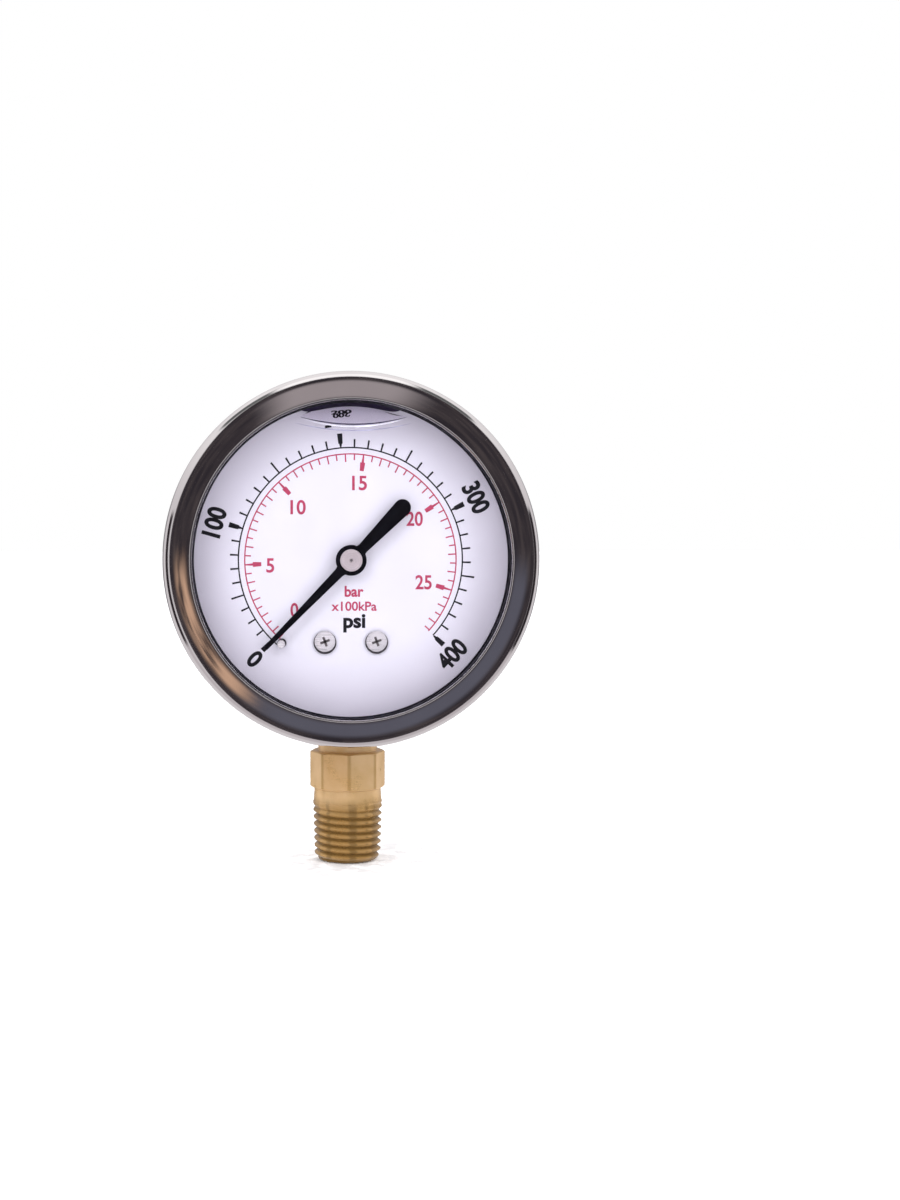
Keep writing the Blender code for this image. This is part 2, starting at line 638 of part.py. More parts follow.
def screw(name, place, head_y, head_radius, head_height, shank_radius, end_y, steel):
    """Slotted cheese-head screw along Y whose head seats at head_y and faces the reader."""
    face = head_y - head_height
    profile = [(0, face), (head_radius - 0.0003, face), (head_radius, face + 0.0003), (head_radius, head_y),
               (shank_radius, head_y), (shank_radius, end_y), (0, end_y)]
    body = turned(name, profile, steel, at=(place[0], 0, place[1]), steps=16)
    half = head_radius + 0.001
    slot = [(-half, -0.0003), (half, -0.0003), (half, 0.0003), (-half, 0.0003)]
    groove = prism(name + "_slot", slot, (face - 0.001, face + head_height * 0.45), steel,
                   (place[0], 0, place[1]), radians(35))
    combine(body, groove, "DIFFERENCE")


def make_frame_fasteners(brass, steel):
    """Pillars, screws and dial posts, each a left and right pair."""
    for side, label in ((-1, "left"), (1, "right")):
        pillar = (side * PILLAR_X, PILLAR_Z)
        front, rear = FRONT_PLATE_Y[1] + GAP, BACK_PLATE_Y[0] - GAP
        sleeve("movement_pillar_" + label, pillar, 0.0017, 0.0011, front, rear, brass)
        screw("plate_screw_" + label, pillar, FRONT_PLATE_Y[0] - GAP, 0.0018, 0.0010, 0.0008, -0.0075,
              steel)
        screw("movement_screw_" + label, (side * MOVEMENT_SCREW_X, MOVEMENT_SCREW_Z),
              BACK_PLATE_Y[0] - GAP, 0.0018, 0.0010, 0.0010, 0.0002, steel)
        place = (side * DIAL_SCREW_X, DIAL_SCREW_Z)
        post_rear = FRONT_PLATE_Y[0] - GAP
        post_front = DIAL_FRONT_Y + DIAL_THICKNESS + GAP
        sleeve("dial_post_" + label, place, 0.0020, 0.0011, post_front, post_rear, brass)
        screw("dial_screw_" + label, place, DIAL_FRONT_Y - GAP, 0.0022, 0.0010, 0.0008, -0.0116, steel)


def sleeve(name, place, outer, inner, front, rear, material):
    profile = [(inner, front), (outer, front), (outer, rear), (inner, rear)]
    turned(name, profile, material, at=(place[0], 0, place[1]), steps=16)


def make_hairspring(bronze, brass):
    """Spiral spring between the arbor's collet and a stud on the back plate."""
    sleeve("hairspring_collet", (0, DIAL_Z), 0.0016, ARBOR_RADIUS + GAP, SPRING_Y[0] - 0.0001,
           SPRING_Y[1] + 0.0001, brass)
    per_turn = 16
    count = int(per_turn * SPRING_TURNS)
    outer_angle = radians(50)
    skin = Skin()
    rings = []
    for i in range(count + 1):
        share = i / count
        angle = outer_angle - 2 * pi * SPRING_TURNS * (1 - share)
        middle = SPRING_RADII[0] + (SPRING_RADII[1] - SPRING_RADII[0]) * share
        section = []
        for offset, y in ((-1, 0), (1, 0), (1, 1), (-1, 1)):
            reach = middle + offset * SPRING_THICKNESS / 2
            section.append((reach * sin(angle), SPRING_Y[y], reach * cos(angle)))
        rings.append(section)
    for near, far in zip(rings, rings[1:]):
        skin.band(near, far)
    skin.face(rings[0])
    skin.face(rings[-1])
    skin.make("hairspring", bronze, (0, 0, DIAL_Z))
    reach = SPRING_RADII[1] + 0.0013
    stud = (reach * sin(outer_angle), DIAL_Z + reach * cos(outer_angle))
    rod("hairspring_stud", 0.0008, (SPRING_Y[0], BACK_PLATE_Y[0] - GAP), brass, (stud[0], 0, stud[1]), 16)


# ---- dial and pointer -------------------------------------------------------------------------
def make_dial(enamel, black):
    profile = [(0, DIAL_FRONT_Y), (DIAL_RADIUS, DIAL_FRONT_Y),
               (DIAL_RADIUS, DIAL_FRONT_Y + DIAL_THICKNESS), (0, DIAL_FRONT_Y + DIAL_THICKNESS)]
    dial = turned("dial", profile, enamel, at=(0, 0, DIAL_Z))
    places = [(side * DIAL_SCREW_X, DIAL_SCREW_Z, 0.0012) for side in (-1, 1)]
    holes(dial, [(0, DIAL_Z, 0.0020)] + places, (DIAL_FRONT_Y - 0.001, DIAL_FRONT_Y + 0.0015), 24)
    x = STOP_PIN_RING * sin(STOP_PIN_ANGLE)
    z = DIAL_Z + STOP_PIN_RING * cos(STOP_PIN_ANGLE)
    rod("stop_pin", 0.0009, (-0.0168, DIAL_FRONT_Y - GAP), black, (x, 0, z), 16)


def make_pointer(black, steel):
    """Pointer with its hub disc and balanced tail, and the bush that grips the arbor."""
    at = (0, 0, DIAL_Z)
    outline = [(0.00025, POINTER_REACH), (0.0004, POINTER_REACH - 0.0006), (0.00085, 0.0040)]
    outline += arc((0, 0), HUB_RADIUS, radians(25), radians(152), 9)
    outline += [(0.0012, -0.0050)]
    outline += arc((0, -0.0139), 0.0016, radians(88), radians(272), 10)
    outline += [(-0.0012, -0.0050)]
    outline += arc((0, 0), HUB_RADIUS, radians(208), radians(335), 9)
    outline += [(-0.00085, 0.0040), (-0.0004, POINTER_REACH - 0.0006), (-0.00025, POINTER_REACH)]
    front = POINTER_REAR_Y - POINTER_THICKNESS
    pointer = prism("pointer", outline, (front, POINTER_REAR_Y), black, at, POINTER_ZERO)
    holes(pointer, [(0, DIAL_Z, BUSH_BARREL_RADIUS + GAP)], through((front, POINTER_REAR_Y)), 20)
    flange_rear = front - GAP
    flange_front = flange_rear - 0.0005
    bore_end = ARBOR_FRONT_Y - GAP / 2
    bore = ARBOR_RADIUS + 0.0002
    rear = -0.0146
    profile = [(0, flange_front + 0.0002), (0.0006, flange_front), (BUSH_FLANGE_RADIUS, flange_front),
               (BUSH_FLANGE_RADIUS, flange_rear), (BUSH_BARREL_RADIUS, flange_rear),
               (BUSH_BARREL_RADIUS, rear), (bore, rear), (bore, bore_end), (0, bore_end)]
    turned("pointer_bush", profile, steel, at=at, steps=28, turn=POINTER_ZERO)


def clear_scene():
    for obj in list(bpy.data.objects):
        bpy.data.objects.remove(obj, do_unlink=True)


def main():
    clear_scene()
    steel = paint("polished_steel", (0.62, 0.60, 0.59), 0.15, 1.0)
    brass = paint("brass", (0.60, 0.42, 0.21), 0.3, 1.0)
    bronze = paint("phosphor_bronze", (0.55, 0.33, 0.17), 0.35, 1.0)
    rubber = paint("black_rubber", (0.02, 0.02, 0.02), 0.6)
    clear = paint("clear_window", (0.95, 0.95, 0.97), 0.05, 0.0, 0.25)
    enamel = paint("white_enamel", (0.85, 0.84, 0.88), 0.4)
    black = paint("black_paint", (0.01, 0.01, 0.012), 0.45)
    make_case(steel)
    make_bezel(steel)
    make_window(clear, rubber)
    make_fill_plug(rubber)
    make_stem(brass)
    make_stem_fittings(steel, rubber, brass)
    make_bourdon_tube(bronze)
    make_tube_tip(brass, steel)
    make_link(steel)
    make_pinion(steel)
    make_sector(brass, steel)
    make_plates(brass)
    make_frame_fasteners(brass, steel)
    make_hairspring(bronze, brass)
    make_dial(enamel, black)
    make_pointer(black, steel)


main()
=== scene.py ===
"""Looks of a liquid-filled pressure gauge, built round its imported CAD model.

Units are metres, in the CAD model's frame: +Z up, the dial faces -Y, +X to the reader's right.
Dial angles run clockwise from straight up, as the reader sees them.
"""
import json
from math import atan2, ceil, cos, hypot, pi, radians, sin, sqrt, tan

import bpy
import bmesh
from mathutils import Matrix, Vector


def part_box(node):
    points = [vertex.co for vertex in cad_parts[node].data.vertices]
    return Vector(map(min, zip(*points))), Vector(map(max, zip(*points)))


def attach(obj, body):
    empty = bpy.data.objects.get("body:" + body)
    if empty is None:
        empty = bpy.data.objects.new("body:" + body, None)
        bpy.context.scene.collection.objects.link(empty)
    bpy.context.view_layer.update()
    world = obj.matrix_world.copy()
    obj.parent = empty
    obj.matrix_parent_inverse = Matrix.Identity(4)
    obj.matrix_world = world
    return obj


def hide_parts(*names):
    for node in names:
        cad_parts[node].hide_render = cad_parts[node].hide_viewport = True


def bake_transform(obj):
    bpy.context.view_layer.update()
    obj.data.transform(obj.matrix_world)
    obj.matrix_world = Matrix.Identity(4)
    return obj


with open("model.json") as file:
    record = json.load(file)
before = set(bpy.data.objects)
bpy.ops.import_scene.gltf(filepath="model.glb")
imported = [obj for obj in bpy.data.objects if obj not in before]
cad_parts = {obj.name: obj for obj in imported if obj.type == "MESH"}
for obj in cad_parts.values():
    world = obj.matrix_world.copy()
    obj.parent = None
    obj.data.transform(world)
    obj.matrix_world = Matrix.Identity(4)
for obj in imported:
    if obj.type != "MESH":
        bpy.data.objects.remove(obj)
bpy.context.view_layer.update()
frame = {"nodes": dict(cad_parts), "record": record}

MM = 0.001
BODY = "gauge_body"
SPINDLE = "pointer_spindle"

# ---- places read from the frame ----
dial_low, dial_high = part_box("dial")
bezel_low, bezel_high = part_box("bezel")
case_low, case_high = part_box("case")
window_low, window_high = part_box("window")
gasket_low, gasket_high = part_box("window_gasket")
stem_low, stem_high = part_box("stem")
washer_low, washer_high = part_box("stem_washer")
plug_low, plug_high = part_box("fill_plug")
pointer_low, pointer_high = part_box("pointer")
bush_low, bush_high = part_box("pointer_bush")
pin_low, pin_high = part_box("stop_pin")

DIAL_Z = (dial_low.z + dial_high.z) / 2
DIAL_Y = dial_low.y
DIAL_RADIUS = (dial_high.x - dial_low.x) / 2
BEZEL_RADIUS = bezel_high.x
LIP_RADIUS = BEZEL_RADIUS - 5.6 * MM
BEZEL_SHEET = 0.7 * MM
CASE_RADIUS = BEZEL_RADIUS - 3.7 * MM
CASE_WALL = 0.8 * MM
CLEARANCE = 0.3 * MM
PLUG_Y = (plug_low.y + plug_high.y) / 2
CENTRE = (0, DIAL_Z)  # of the dial, as (x, z)
TURN = 192  # facets round the large turned pieces
ZERO = radians(-135.7)  # the pointer's rest on the dial


# ---- mesh helpers ----
def show(obj):
    """Puts a new object in the scene."""
    bpy.context.scene.collection.objects.link(obj)
    return obj


class Skin:
    """Collects faces by position, so that points which coincide become one vertex."""

    def __init__(self):
        self.index = {}
        self.points = []
        self.faces = []

    def point(self, co):
        key = tuple(round(value, 8) for value in co)
        if key not in self.index:
            self.index[key] = len(self.points)
            self.points.append(co)
        return self.index[key]

    def face(self, corners):
        ring = []
        for co in corners:
            number = self.point(co)
            if number not in ring:
                ring.append(number)
        if len(ring) > 2:
            self.faces.append(ring)

    def band(self, ring_a, ring_b):
        """Joins two closed rings of equally many points with four-sided faces."""
        count = len(ring_a)
        for i in range(count):
            j = (i + 1) % count
            self.face((ring_a[i], ring_a[j], ring_b[j], ring_b[i]))

    def slab(self, outline, front, rear):
        """Adds a flat piece with an (x, z) outline between two heights along Y."""
        sides = [[(x, y, z) for x, z in outline] for y in (front, rear)]
        for side in sides:
            self.face(side)
        self.band(*sides)

    def make(self, name, material, sharp=30):
        mesh = bpy.data.meshes.new(name)
        mesh.from_pydata(self.points, [], self.faces)
        tidy = bmesh.new()
        tidy.from_mesh(mesh)
        bmesh.ops.recalc_face_normals(tidy, faces=tidy.faces)
        tidy.to_mesh(mesh)
        tidy.free()
        mesh.shade_smooth()
        mesh.set_sharp_from_angle(angle=radians(sharp))
        mesh.materials.append(material)
        return show(bpy.data.objects.new(name, mesh))


def near(x, y, *offsets):
    """Points at offsets, in millimetres, from a place."""
    return [(x + u * MM, y + v * MM) for u, v in offsets]


def bow(start, bend, end, steps=10):
    """Points after start along a quadratic curve to end, pulled towards bend."""
    points = []
    for step in range(1, steps + 1):
        t = step / steps
        weights = ((1 - t) ** 2, 2 * t * (1 - t), t ** 2)
        points.append(tuple(sum(w * p[k] for w, p in zip(weights, (start, bend, end))) for k in (0, 1)))
    return points


def rounded(corners, radius, steps=4):
    """Rounds each corner of an outline."""
    outline = []
    for i, corner in enumerate(corners):
        ends = []
        for other in (corners[i - 1], corners[(i + 1) % len(corners)]):
            reach = hypot(other[0] - corner[0], other[1] - corner[1])
            share = min(radius / reach, 0.45)
            ends.append(tuple(corner[k] + (other[k] - corner[k]) * share for k in (0, 1)))
        outline += [ends[0]] + bow(ends[0], corner, ends[1], steps)
    return outline


def turned(name, profile, material, axis="Y", centre=(0, 0, DIAL_Z), steps=TURN, sharp=30):
    """Turns a closed profile of (radius, height) points about the axis through centre."""
    skin = Skin()
    rings = []
    for radius, height in profile:
        ring = []
        for i in range(steps):
            angle = 2 * pi * i / steps
            u, v = radius * sin(angle), radius * cos(angle)
            co = (u, height, v) if axis == "Y" else (u, v, height)
            ring.append(tuple(co[k] + centre[k] for k in range(3)))
        rings.append(ring)
    for i in range(len(rings)):
        skin.band(rings[i], rings[(i + 1) % len(rings)])
    return skin.make(name, material, sharp)


def arc(centre, radius, start, end, steps):
    """Points of an arc, by clockwise angles from straight up, as (x, z)."""
    points = []
    for i in range(steps + 1):
        angle = start + (end - start) * i / steps
        points.append((centre[0] + radius * sin(angle), centre[1] + radius * cos(angle)))
    return points


def polar(radius, angle):
    """The (x, z) place on the dial at a radius and a clockwise angle from straight up."""
    return (radius * sin(angle), DIAL_Z + radius * cos(angle))


def weld(mesh):
    """Joins the points that a cut leaves next to each other along its edge."""
    gap = 0.002 * MM
    tidy = bmesh.new()
    tidy.from_mesh(mesh)
    bmesh.ops.remove_doubles(tidy, verts=tidy.verts, dist=gap)
    bmesh.ops.dissolve_degenerate(tidy, edges=tidy.edges, dist=gap)
    bmesh.ops.recalc_face_normals(tidy, faces=tidy.faces)
    tidy.to_mesh(mesh)
    tidy.free()


def cut(target, cutter, operation="DIFFERENCE"):
    """Cuts away, or adds, another piece's shape for good."""
    modifier = target.modifiers.new("cut", "BOOLEAN")
    modifier.object = cutter
    modifier.operation = operation
    modifier.solver = "EXACT"
    graph = bpy.context.evaluated_depsgraph_get()
    mesh = bpy.data.meshes.new_from_object(target.evaluated_get(graph))
    target.modifiers.clear()
    old = target.data
    target.data = mesh
    bpy.data.meshes.remove(old)
    bpy.data.objects.remove(cutter, do_unlink=True)
    weld(mesh)
    mesh.name = target.name
    mesh.shade_smooth()
    mesh.set_sharp_from_angle(angle=radians(30))


def settle(piece, body, slot, *nodes):
    """Attaches a finished piece to its body and hides the CAD nodes that it stands for. The slot is not used.
    """
    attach(piece, body)
    if nodes:
        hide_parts(*nodes)


# ---- material helpers ----
class Graph:
    """Short forms for the nodes of one material or world."""

    def __init__(self, owner):
        owner.use_nodes = True
        self.tree = owner.node_tree
        self.nodes = self.tree.nodes

    def node(self, kind, **settings):
        node = self.nodes.new(kind)
        for key, value in settings.items():
            setattr(node, key, value)
        return node

    def link(self, source, target):
        self.tree.links.new(source, target)

    def feed(self, socket, value):
        if isinstance(value, bpy.types.NodeSocket):
            self.link(value, socket)
        else:
            socket.default_value = value

    def math(self, operation, a, b=0.0):
        node = self.node("ShaderNodeMath", operation=operation)
        self.feed(node.inputs[0], a)
        self.feed(node.inputs[1], b)
        return node.outputs[0]

    def times(self, a, b):
        return self.math("MULTIPLY", a, b)

    def plus(self, a, b):
        return self.math("ADD", a, b)

    def minus(self, a, b):
        return self.math("SUBTRACT", a, b)

    def mix(self, factor, a, b):
        node = self.node("ShaderNodeMix", data_type="RGBA")
        self.feed(node.inputs[0], factor)
        for socket, value in ((node.inputs[6], a), (node.inputs[7], b)):
            self.feed(socket, (*value, 1.0) if isinstance(value, tuple) and len(value) == 3 else value)
        return node.outputs[2]

    def ramp(self, value, low, high, to_low=0.0, to_high=1.0):
        """A smooth step from to_low at low to to_high at high."""
        node = self.node("ShaderNodeMapRange", interpolation_type="SMOOTHSTEP")
        for socket, number in zip(node.inputs, (value, low, high, to_low, to_high)):
            self.feed(socket, number)
        return node.outputs[0]

    def split(self, vector):
        node = self.node("ShaderNodeSeparateXYZ")
        self.link(vector, node.inputs[0])
        return node.outputs

    def join(self, x, y, z):
        node = self.node("ShaderNodeCombineXYZ")
        for socket, value in zip(node.inputs, (x, y, z)):
            self.feed(socket, value)
        return node.outputs[0]

    def noise(self, vector, scale, detail=3.0, roughness=0.55):
        node = self.node("ShaderNodeTexNoise")
        self.link(vector, node.inputs["Vector"])
        node.inputs["Scale"].default_value = scale
        node.inputs["Detail"].default_value = detail
        node.inputs["Roughness"].default_value = roughness
        return node.outputs["Fac"]

    def stretched(self, vector, scales):
        node = self.node("ShaderNodeVectorMath", operation="MULTIPLY")
        self.link(vector, node.inputs[0])
        node.inputs[1].default_value = scales
        return node.outputs[0]

    def place(self):
        return self.node("ShaderNodeTexCoord").outputs["Object"]

    def rings(self, centre, axis):
        """Coordinates of radius and height about an axis, for marks that run round a turned piece."""
        x, y, z = self.split(self.place())
        side, along = (z, y) if axis == "Y" else (y, z)
        u, v = self.minus(x, centre[0]), self.minus(side, centre[1])
        return self.math("SQRT", self.plus(self.times(u, u), self.times(v, v))), along

    def bump(self, height, strength, distance):
        node = self.node("ShaderNodeBump")
        node.inputs["Strength"].default_value = strength
        node.inputs["Distance"].default_value = distance
        self.link(height, node.inputs["Height"])
        return node.outputs[0]

    def dress(self, colour, roughness, normal=None, metallic=0.0, specular=0.5):
        """Feeds the material's Principled shader."""
        shader = self.nodes["Principled BSDF"].inputs
        self.link(colour, shader["Base Color"])
        self.link(roughness, shader["Roughness"])
        if normal:
            self.link(normal, shader["Normal"])
        shader["Metallic"].default_value = metallic
        shader["Specular IOR Level"].default_value = specular


def surface(name):
    """A new material, its graph and its texture coordinates."""
    material = bpy.data.materials.new(name)
    graph = Graph(material)
    return material, graph, graph.place()


def metal(name, light, dark, roughness, centre=None, axis="Y", marks=0.15, tarnish=0.35, metallic=1.0):
    """Turned or drawn metal: fine marks round its axis, cloudy tarnish and uneven polish."""
    material, g, place = surface(name)
    cloud = g.noise(place, 90.0, 4.0)
    fine = g.noise(place, 900.0, 2.0)
    if centre is None:
        grain = g.noise(g.stretched(place, (1.0, 1.0, 14.0)), 260.0, 3.0)
    else:
        radius, along = g.rings(centre, axis)
        grain = g.noise(g.join(radius, along, 0.0), 5200.0, 3.0, 0.7)
    middle = 0.5 * (tarnish + marks)
    shade = g.ramp(g.plus(g.times(cloud, tarnish), g.times(grain, marks)), middle - 0.18, middle + 0.18)
    uneven = g.plus(g.times(cloud, 0.35), g.times(grain, 0.25))
    relief = g.plus(g.times(grain, marks), g.times(fine, 0.1))
    g.dress(g.mix(shade, dark, light), g.ramp(uneven, 0.12, 0.5, roughness * 0.75, roughness * 1.35),
            g.bump(relief, 0.25, 0.00002), metallic)
    return material


def brass(name, light, dark, roughness, stain):
    """Machined brass of the stem: turning marks and brown stains, with painted shade in the thread roots and
    on the octagon's corners and upper chamfer.
    """
    material, g, place = surface(name)
    radius, height = g.rings((0, 0), "Z")
    turning = g.noise(g.join(0.0, 0.0, height), 9000.0, 3.0, 0.75)
    cloud = g.noise(place, 160.0, 5.0)
    blotch = g.noise(place, 45.0, 3.0)
    body = g.mix(g.ramp(cloud, 0.35, 0.68), dark, light)
    stains_and_shade = g.mix(g.times(g.ramp(blotch, 0.45, 0.75), 0.35), body, stain)
    # Painted shade: the octagon's corners and its upper chamfer, under the collar, are darkened towards the
    # stain colour.
    corner = g.ramp(radius, OCTAGON_APOTHEM + 0.36 * MM, OCTAGON_APOTHEM + 0.50 * MM)
    chamfer = g.ramp(height, OCTAGON_TOP - 0.36 * MM, OCTAGON_TOP - 0.20 * MM)
    on_octagon = g.times(g.ramp(height, OCTAGON_LOW, OCTAGON_LOW + 0.2 * MM),
                        g.ramp(height, OCTAGON_TOP + 0.1 * MM, OCTAGON_TOP))
    painted_octagon_shade = g.times(on_octagon, g.math("MAXIMUM", corner, chamfer))
    stains_and_shade = g.mix(g.times(painted_octagon_shade, 0.60), stains_and_shade, stain)
    # The thread is darker, with tarnish in upright streaks, painted shade in its roots and a darker bottom
    # end.
    in_thread = g.ramp(height, THREAD_TOP + 1.6 * MM, THREAD_TOP - 1.0 * MM)
    fall = g.times(g.minus(THREAD_TOP, height), 1 / TAPER)
    crest = g.minus(THREAD_RADIUS, fall)
    root = g.ramp(g.minus(crest, radius), 0.15 * MM, 0.75 * MM)
    streaks = g.noise(g.stretched(place, (1.0, 1.0, 0.05)), 330.0, 2.0)
    deep = tuple(value * 0.6 for value in stain)
    tarnish = tuple(0.2 * a + 0.8 * b for a, b in zip(dark, stain))
    streaky = g.mix(g.ramp(streaks, 0.47, 0.57), tarnish, deep)
    dull = g.mix(g.times(in_thread, 0.80), stains_and_shade, streaky)
    foot = g.times(g.ramp(height, 0.9 * MM, 0.2 * MM), 0.8)
    root_shade_and_dark_foot = g.math("MAXIMUM", g.times(root, in_thread), foot)
    uneven = g.plus(cloud, g.times(turning, 0.4))
    g.dress(g.mix(root_shade_and_dark_foot, dull, deep), g.ramp(uneven, 0.4, 1.0, roughness * 0.7, roughness * 1.4),
            g.bump(g.plus(turning, g.times(cloud, 0.3)), 0.3, 0.00002), 0.4)
    return material


def rubber(name, colour, roughness=0.55):
    """Moulded rubber: a fine grain, a grey bloom and a little dust."""
    material, g, place = surface(name)
    bloom = g.noise(place, 220.0, 4.0)
    grain = g.noise(place, 3200.0, 2.0)
    pale = tuple(value * 2.2 + 0.012 for value in colour)
    polish = g.ramp(bloom, 0.3, 0.7, roughness - 0.12, roughness + 0.15)
    g.dress(g.mix(g.ramp(bloom, 0.42, 0.72), colour, pale), polish, g.bump(grain, 0.35, 0.00003), 0.0, 0.4)
    return material


def enamel(name, colour, edge):
    """Baked white enamel of the dial: slightly uneven, with painted shade that greys it towards its rim."""
    material, g, place = surface(name)
    radius = g.rings(CENTRE, "Y")[0]
    mottle = g.noise(place, 140.0, 4.0)
    peel = g.noise(place, 1500.0, 2.0)
    centre = tuple(min(1.0, value * 1.03) for value in colour)
    plain = g.mix(g.ramp(mottle, 0.3, 0.7), colour, centre)
    # Painted shade: the enamel greys towards the rim, where the bezel shades the dial.
    rim = g.times(g.ramp(radius, 0.55 * DIAL_RADIUS, DIAL_RADIUS), 0.8)
    g.dress(g.mix(rim, plain, edge), g.ramp(mottle, 0.3, 0.7, 0.34, 0.46), g.bump(peel, 0.12, 0.00002))
    return material


def ink(name, colour):
    """Screen-printed ink, a little thin in places."""
    material, g, place = surface(name)
    thin = g.noise(place, 1800.0, 3.0)
    worn = tuple(value * 1.25 + 0.006 for value in colour)
    g.dress(g.mix(g.ramp(thin, 0.35, 0.75), colour, worn), g.ramp(thin, 0.3, 0.7, 0.42, 0.58))
    return material


def paint(name, colour, roughness, specular=0.5):
    """Satin paint with a faint orange peel."""
    material, g, place = surface(name)
    peel = g.noise(place, 1400.0, 2.0)
    cloud = g.noise(place, 260.0, 3.0)
    pale = tuple(value * 1.6 + 0.002 for value in colour)
    polish = g.ramp(cloud, 0.3, 0.7, roughness - 0.06, roughness + 0.08)
    g.dress(g.mix(g.ramp(cloud, 0.4, 0.75), colour, pale), polish, g.bump(peel, 0.2, 0.00002), 0.0, specular)
    return material


def pane(name, tint, ior, roughness=0.02):
    """A thin clear layer: it passes light straight through and mirrors a little of what faces it."""
    material, g, place = surface(name)
    g.nodes.remove(g.nodes["Principled BSDF"])
    haze = g.noise(place, 130.0, 3.0)
    clear = g.node("ShaderNodeBsdfTransparent")
    g.link(g.mix(g.ramp(haze, 0.3, 0.7), tint, tuple(min(1.0, value * 1.01) for value in tint)),
           clear.inputs["Color"])
    gloss = g.node("ShaderNodeBsdfGlossy")
    gloss.inputs["Roughness"].default_value = roughness
    fresnel = g.node("ShaderNodeFresnel")
    fresnel.inputs["IOR"].default_value = ior
    both = g.node("ShaderNodeMixShader")
    g.link(fresnel.outputs[0], both.inputs[0])
    g.link(clear.outputs[0], both.inputs[1])
    g.link(gloss.outputs[0], both.inputs[2])
    g.link(both.outputs[0], g.nodes["Material Output"].inputs["Surface"])
    return material


# ---- stem dimensions that its material also uses ----
PITCH = 25.4 * MM / 18
THREAD_TOP = 11.4 * MM
THREAD_RADIUS = 6.85 * MM
THREAD_DEPTH = 0.70 * MM
TAPER = 32  # height over which the radius grows by one
OCTAGON_LOW, OCTAGON_TOP = 14.1 * MM, 21.5 * MM
OCTAGON_APOTHEM = 6.9 * MM

case_steel = metal("case_steel", (0.80, 0.78, 0.77), (0.66, 0.63, 0.63), 0.13, CENTRE, "Y", 0.10, 0.30)
bezel_steel = metal("bezel_steel", (0.80, 0.78, 0.78), (0.68, 0.65, 0.66), 0.09, CENTRE, "Y", 0.08, 0.25)
stem_brass = brass("stem_brass", (0.74, 0.50, 0.26), (0.64, 0.41, 0.18), 0.30, (0.36, 0.20, 0.05))
washer_steel = metal("washer_steel", (0.52, 0.46, 0.38), (0.30, 0.25, 0.20), 0.38, (0, 0), "Z", 0.3, 0.5)
plug_rubber = rubber("plug_rubber", (0.016, 0.016, 0.019), 0.42)
gasket_rubber = rubber("gasket_rubber", (0.010, 0.009, 0.016), 0.6)
window_clear = pane("window_clear", (0.975, 0.97, 0.99), 1.2)
# Its second colour is the painted shade at the dial's rim.
dial_enamel = enamel("dial_enamel", (0.86, 0.855, 0.90), (0.765, 0.735, 0.81))
black_ink = ink("black_ink", (0.006, 0.006, 0.011))
red_ink = ink("red_ink", (0.50, 0.045, 0.11))
pointer_black = paint("pointer_black", (0.002, 0.002, 0.005), 0.42, 0.2)
bush_steel = metal("bush_steel", (0.90, 0.82, 0.81), (0.62, 0.53, 0.53), 0.30, CENTRE, "Y", 0.30, 0.3, 0.4)
screw_steel = metal("screw_steel", (0.95, 0.93, 0.92), (0.80, 0.77, 0.77), 0.28, None, "Y", 0.06, 0.3, 0.25)
pin_steel = metal("pin_steel", (0.52, 0.50, 0.52), (0.36, 0.34, 0.36), 0.32, None, "Y", 0.2, 0.3, 0.5)
movement_brass = metal("movement_brass", (0.83, 0.66, 0.36), (0.62, 0.45, 0.21), 0.28, None, "Y", 0.3, 0.4)
tube_bronze = metal("tube_bronze", (0.72, 0.47, 0.27), (0.52, 0.31, 0.16), 0.30, CENTRE, "Y", 0.3, 0.4)


# ---- bezel, case, gasket ----
def make_bezel():
    """Crimped ring: rear curl, outer wall, rounded shoulder and a domed slope down to the lip."""
    rear, front, outer = bezel_high.y, bezel_low.y, BEZEL_RADIUS
    wall_top = (outer, rear - 2.9 * MM)
    knee = (outer - 1.8 * MM, front + 1.2 * MM)
    brow = (LIP_RADIUS + 0.2 * MM, front)
    inner = outer - 0.8 * MM
    profile = near(outer, rear, (-0.5, 0), (-0.15, -0.12), (0, -0.5)) + [wall_top]
    profile += bow(wall_top, (outer, front + 2.15 * MM), knee)
    profile += bow(knee, (LIP_RADIUS + 2.05 * MM, front + 0.27 * MM), brow)
    profile += bow(brow, (LIP_RADIUS, front), (LIP_RADIUS, front + 0.25 * MM), 4)
    profile += [(LIP_RADIUS, front + BEZEL_SHEET)]
    profile += near(0.0, rear, (31.3, -5.6), (32.8, -4.8), (33.6, -4.1), (34.2, -3.4))
    profile += [(inner, rear - 2.8 * MM), (inner, rear - BEZEL_SHEET),
                (CASE_RADIUS + CLEARANCE, rear - BEZEL_SHEET), (CASE_RADIUS + CLEARANCE, rear)]
    settle(turned("bezel_ring", profile, bezel_steel, sharp=40), BODY, "bezel_steel", "bezel")


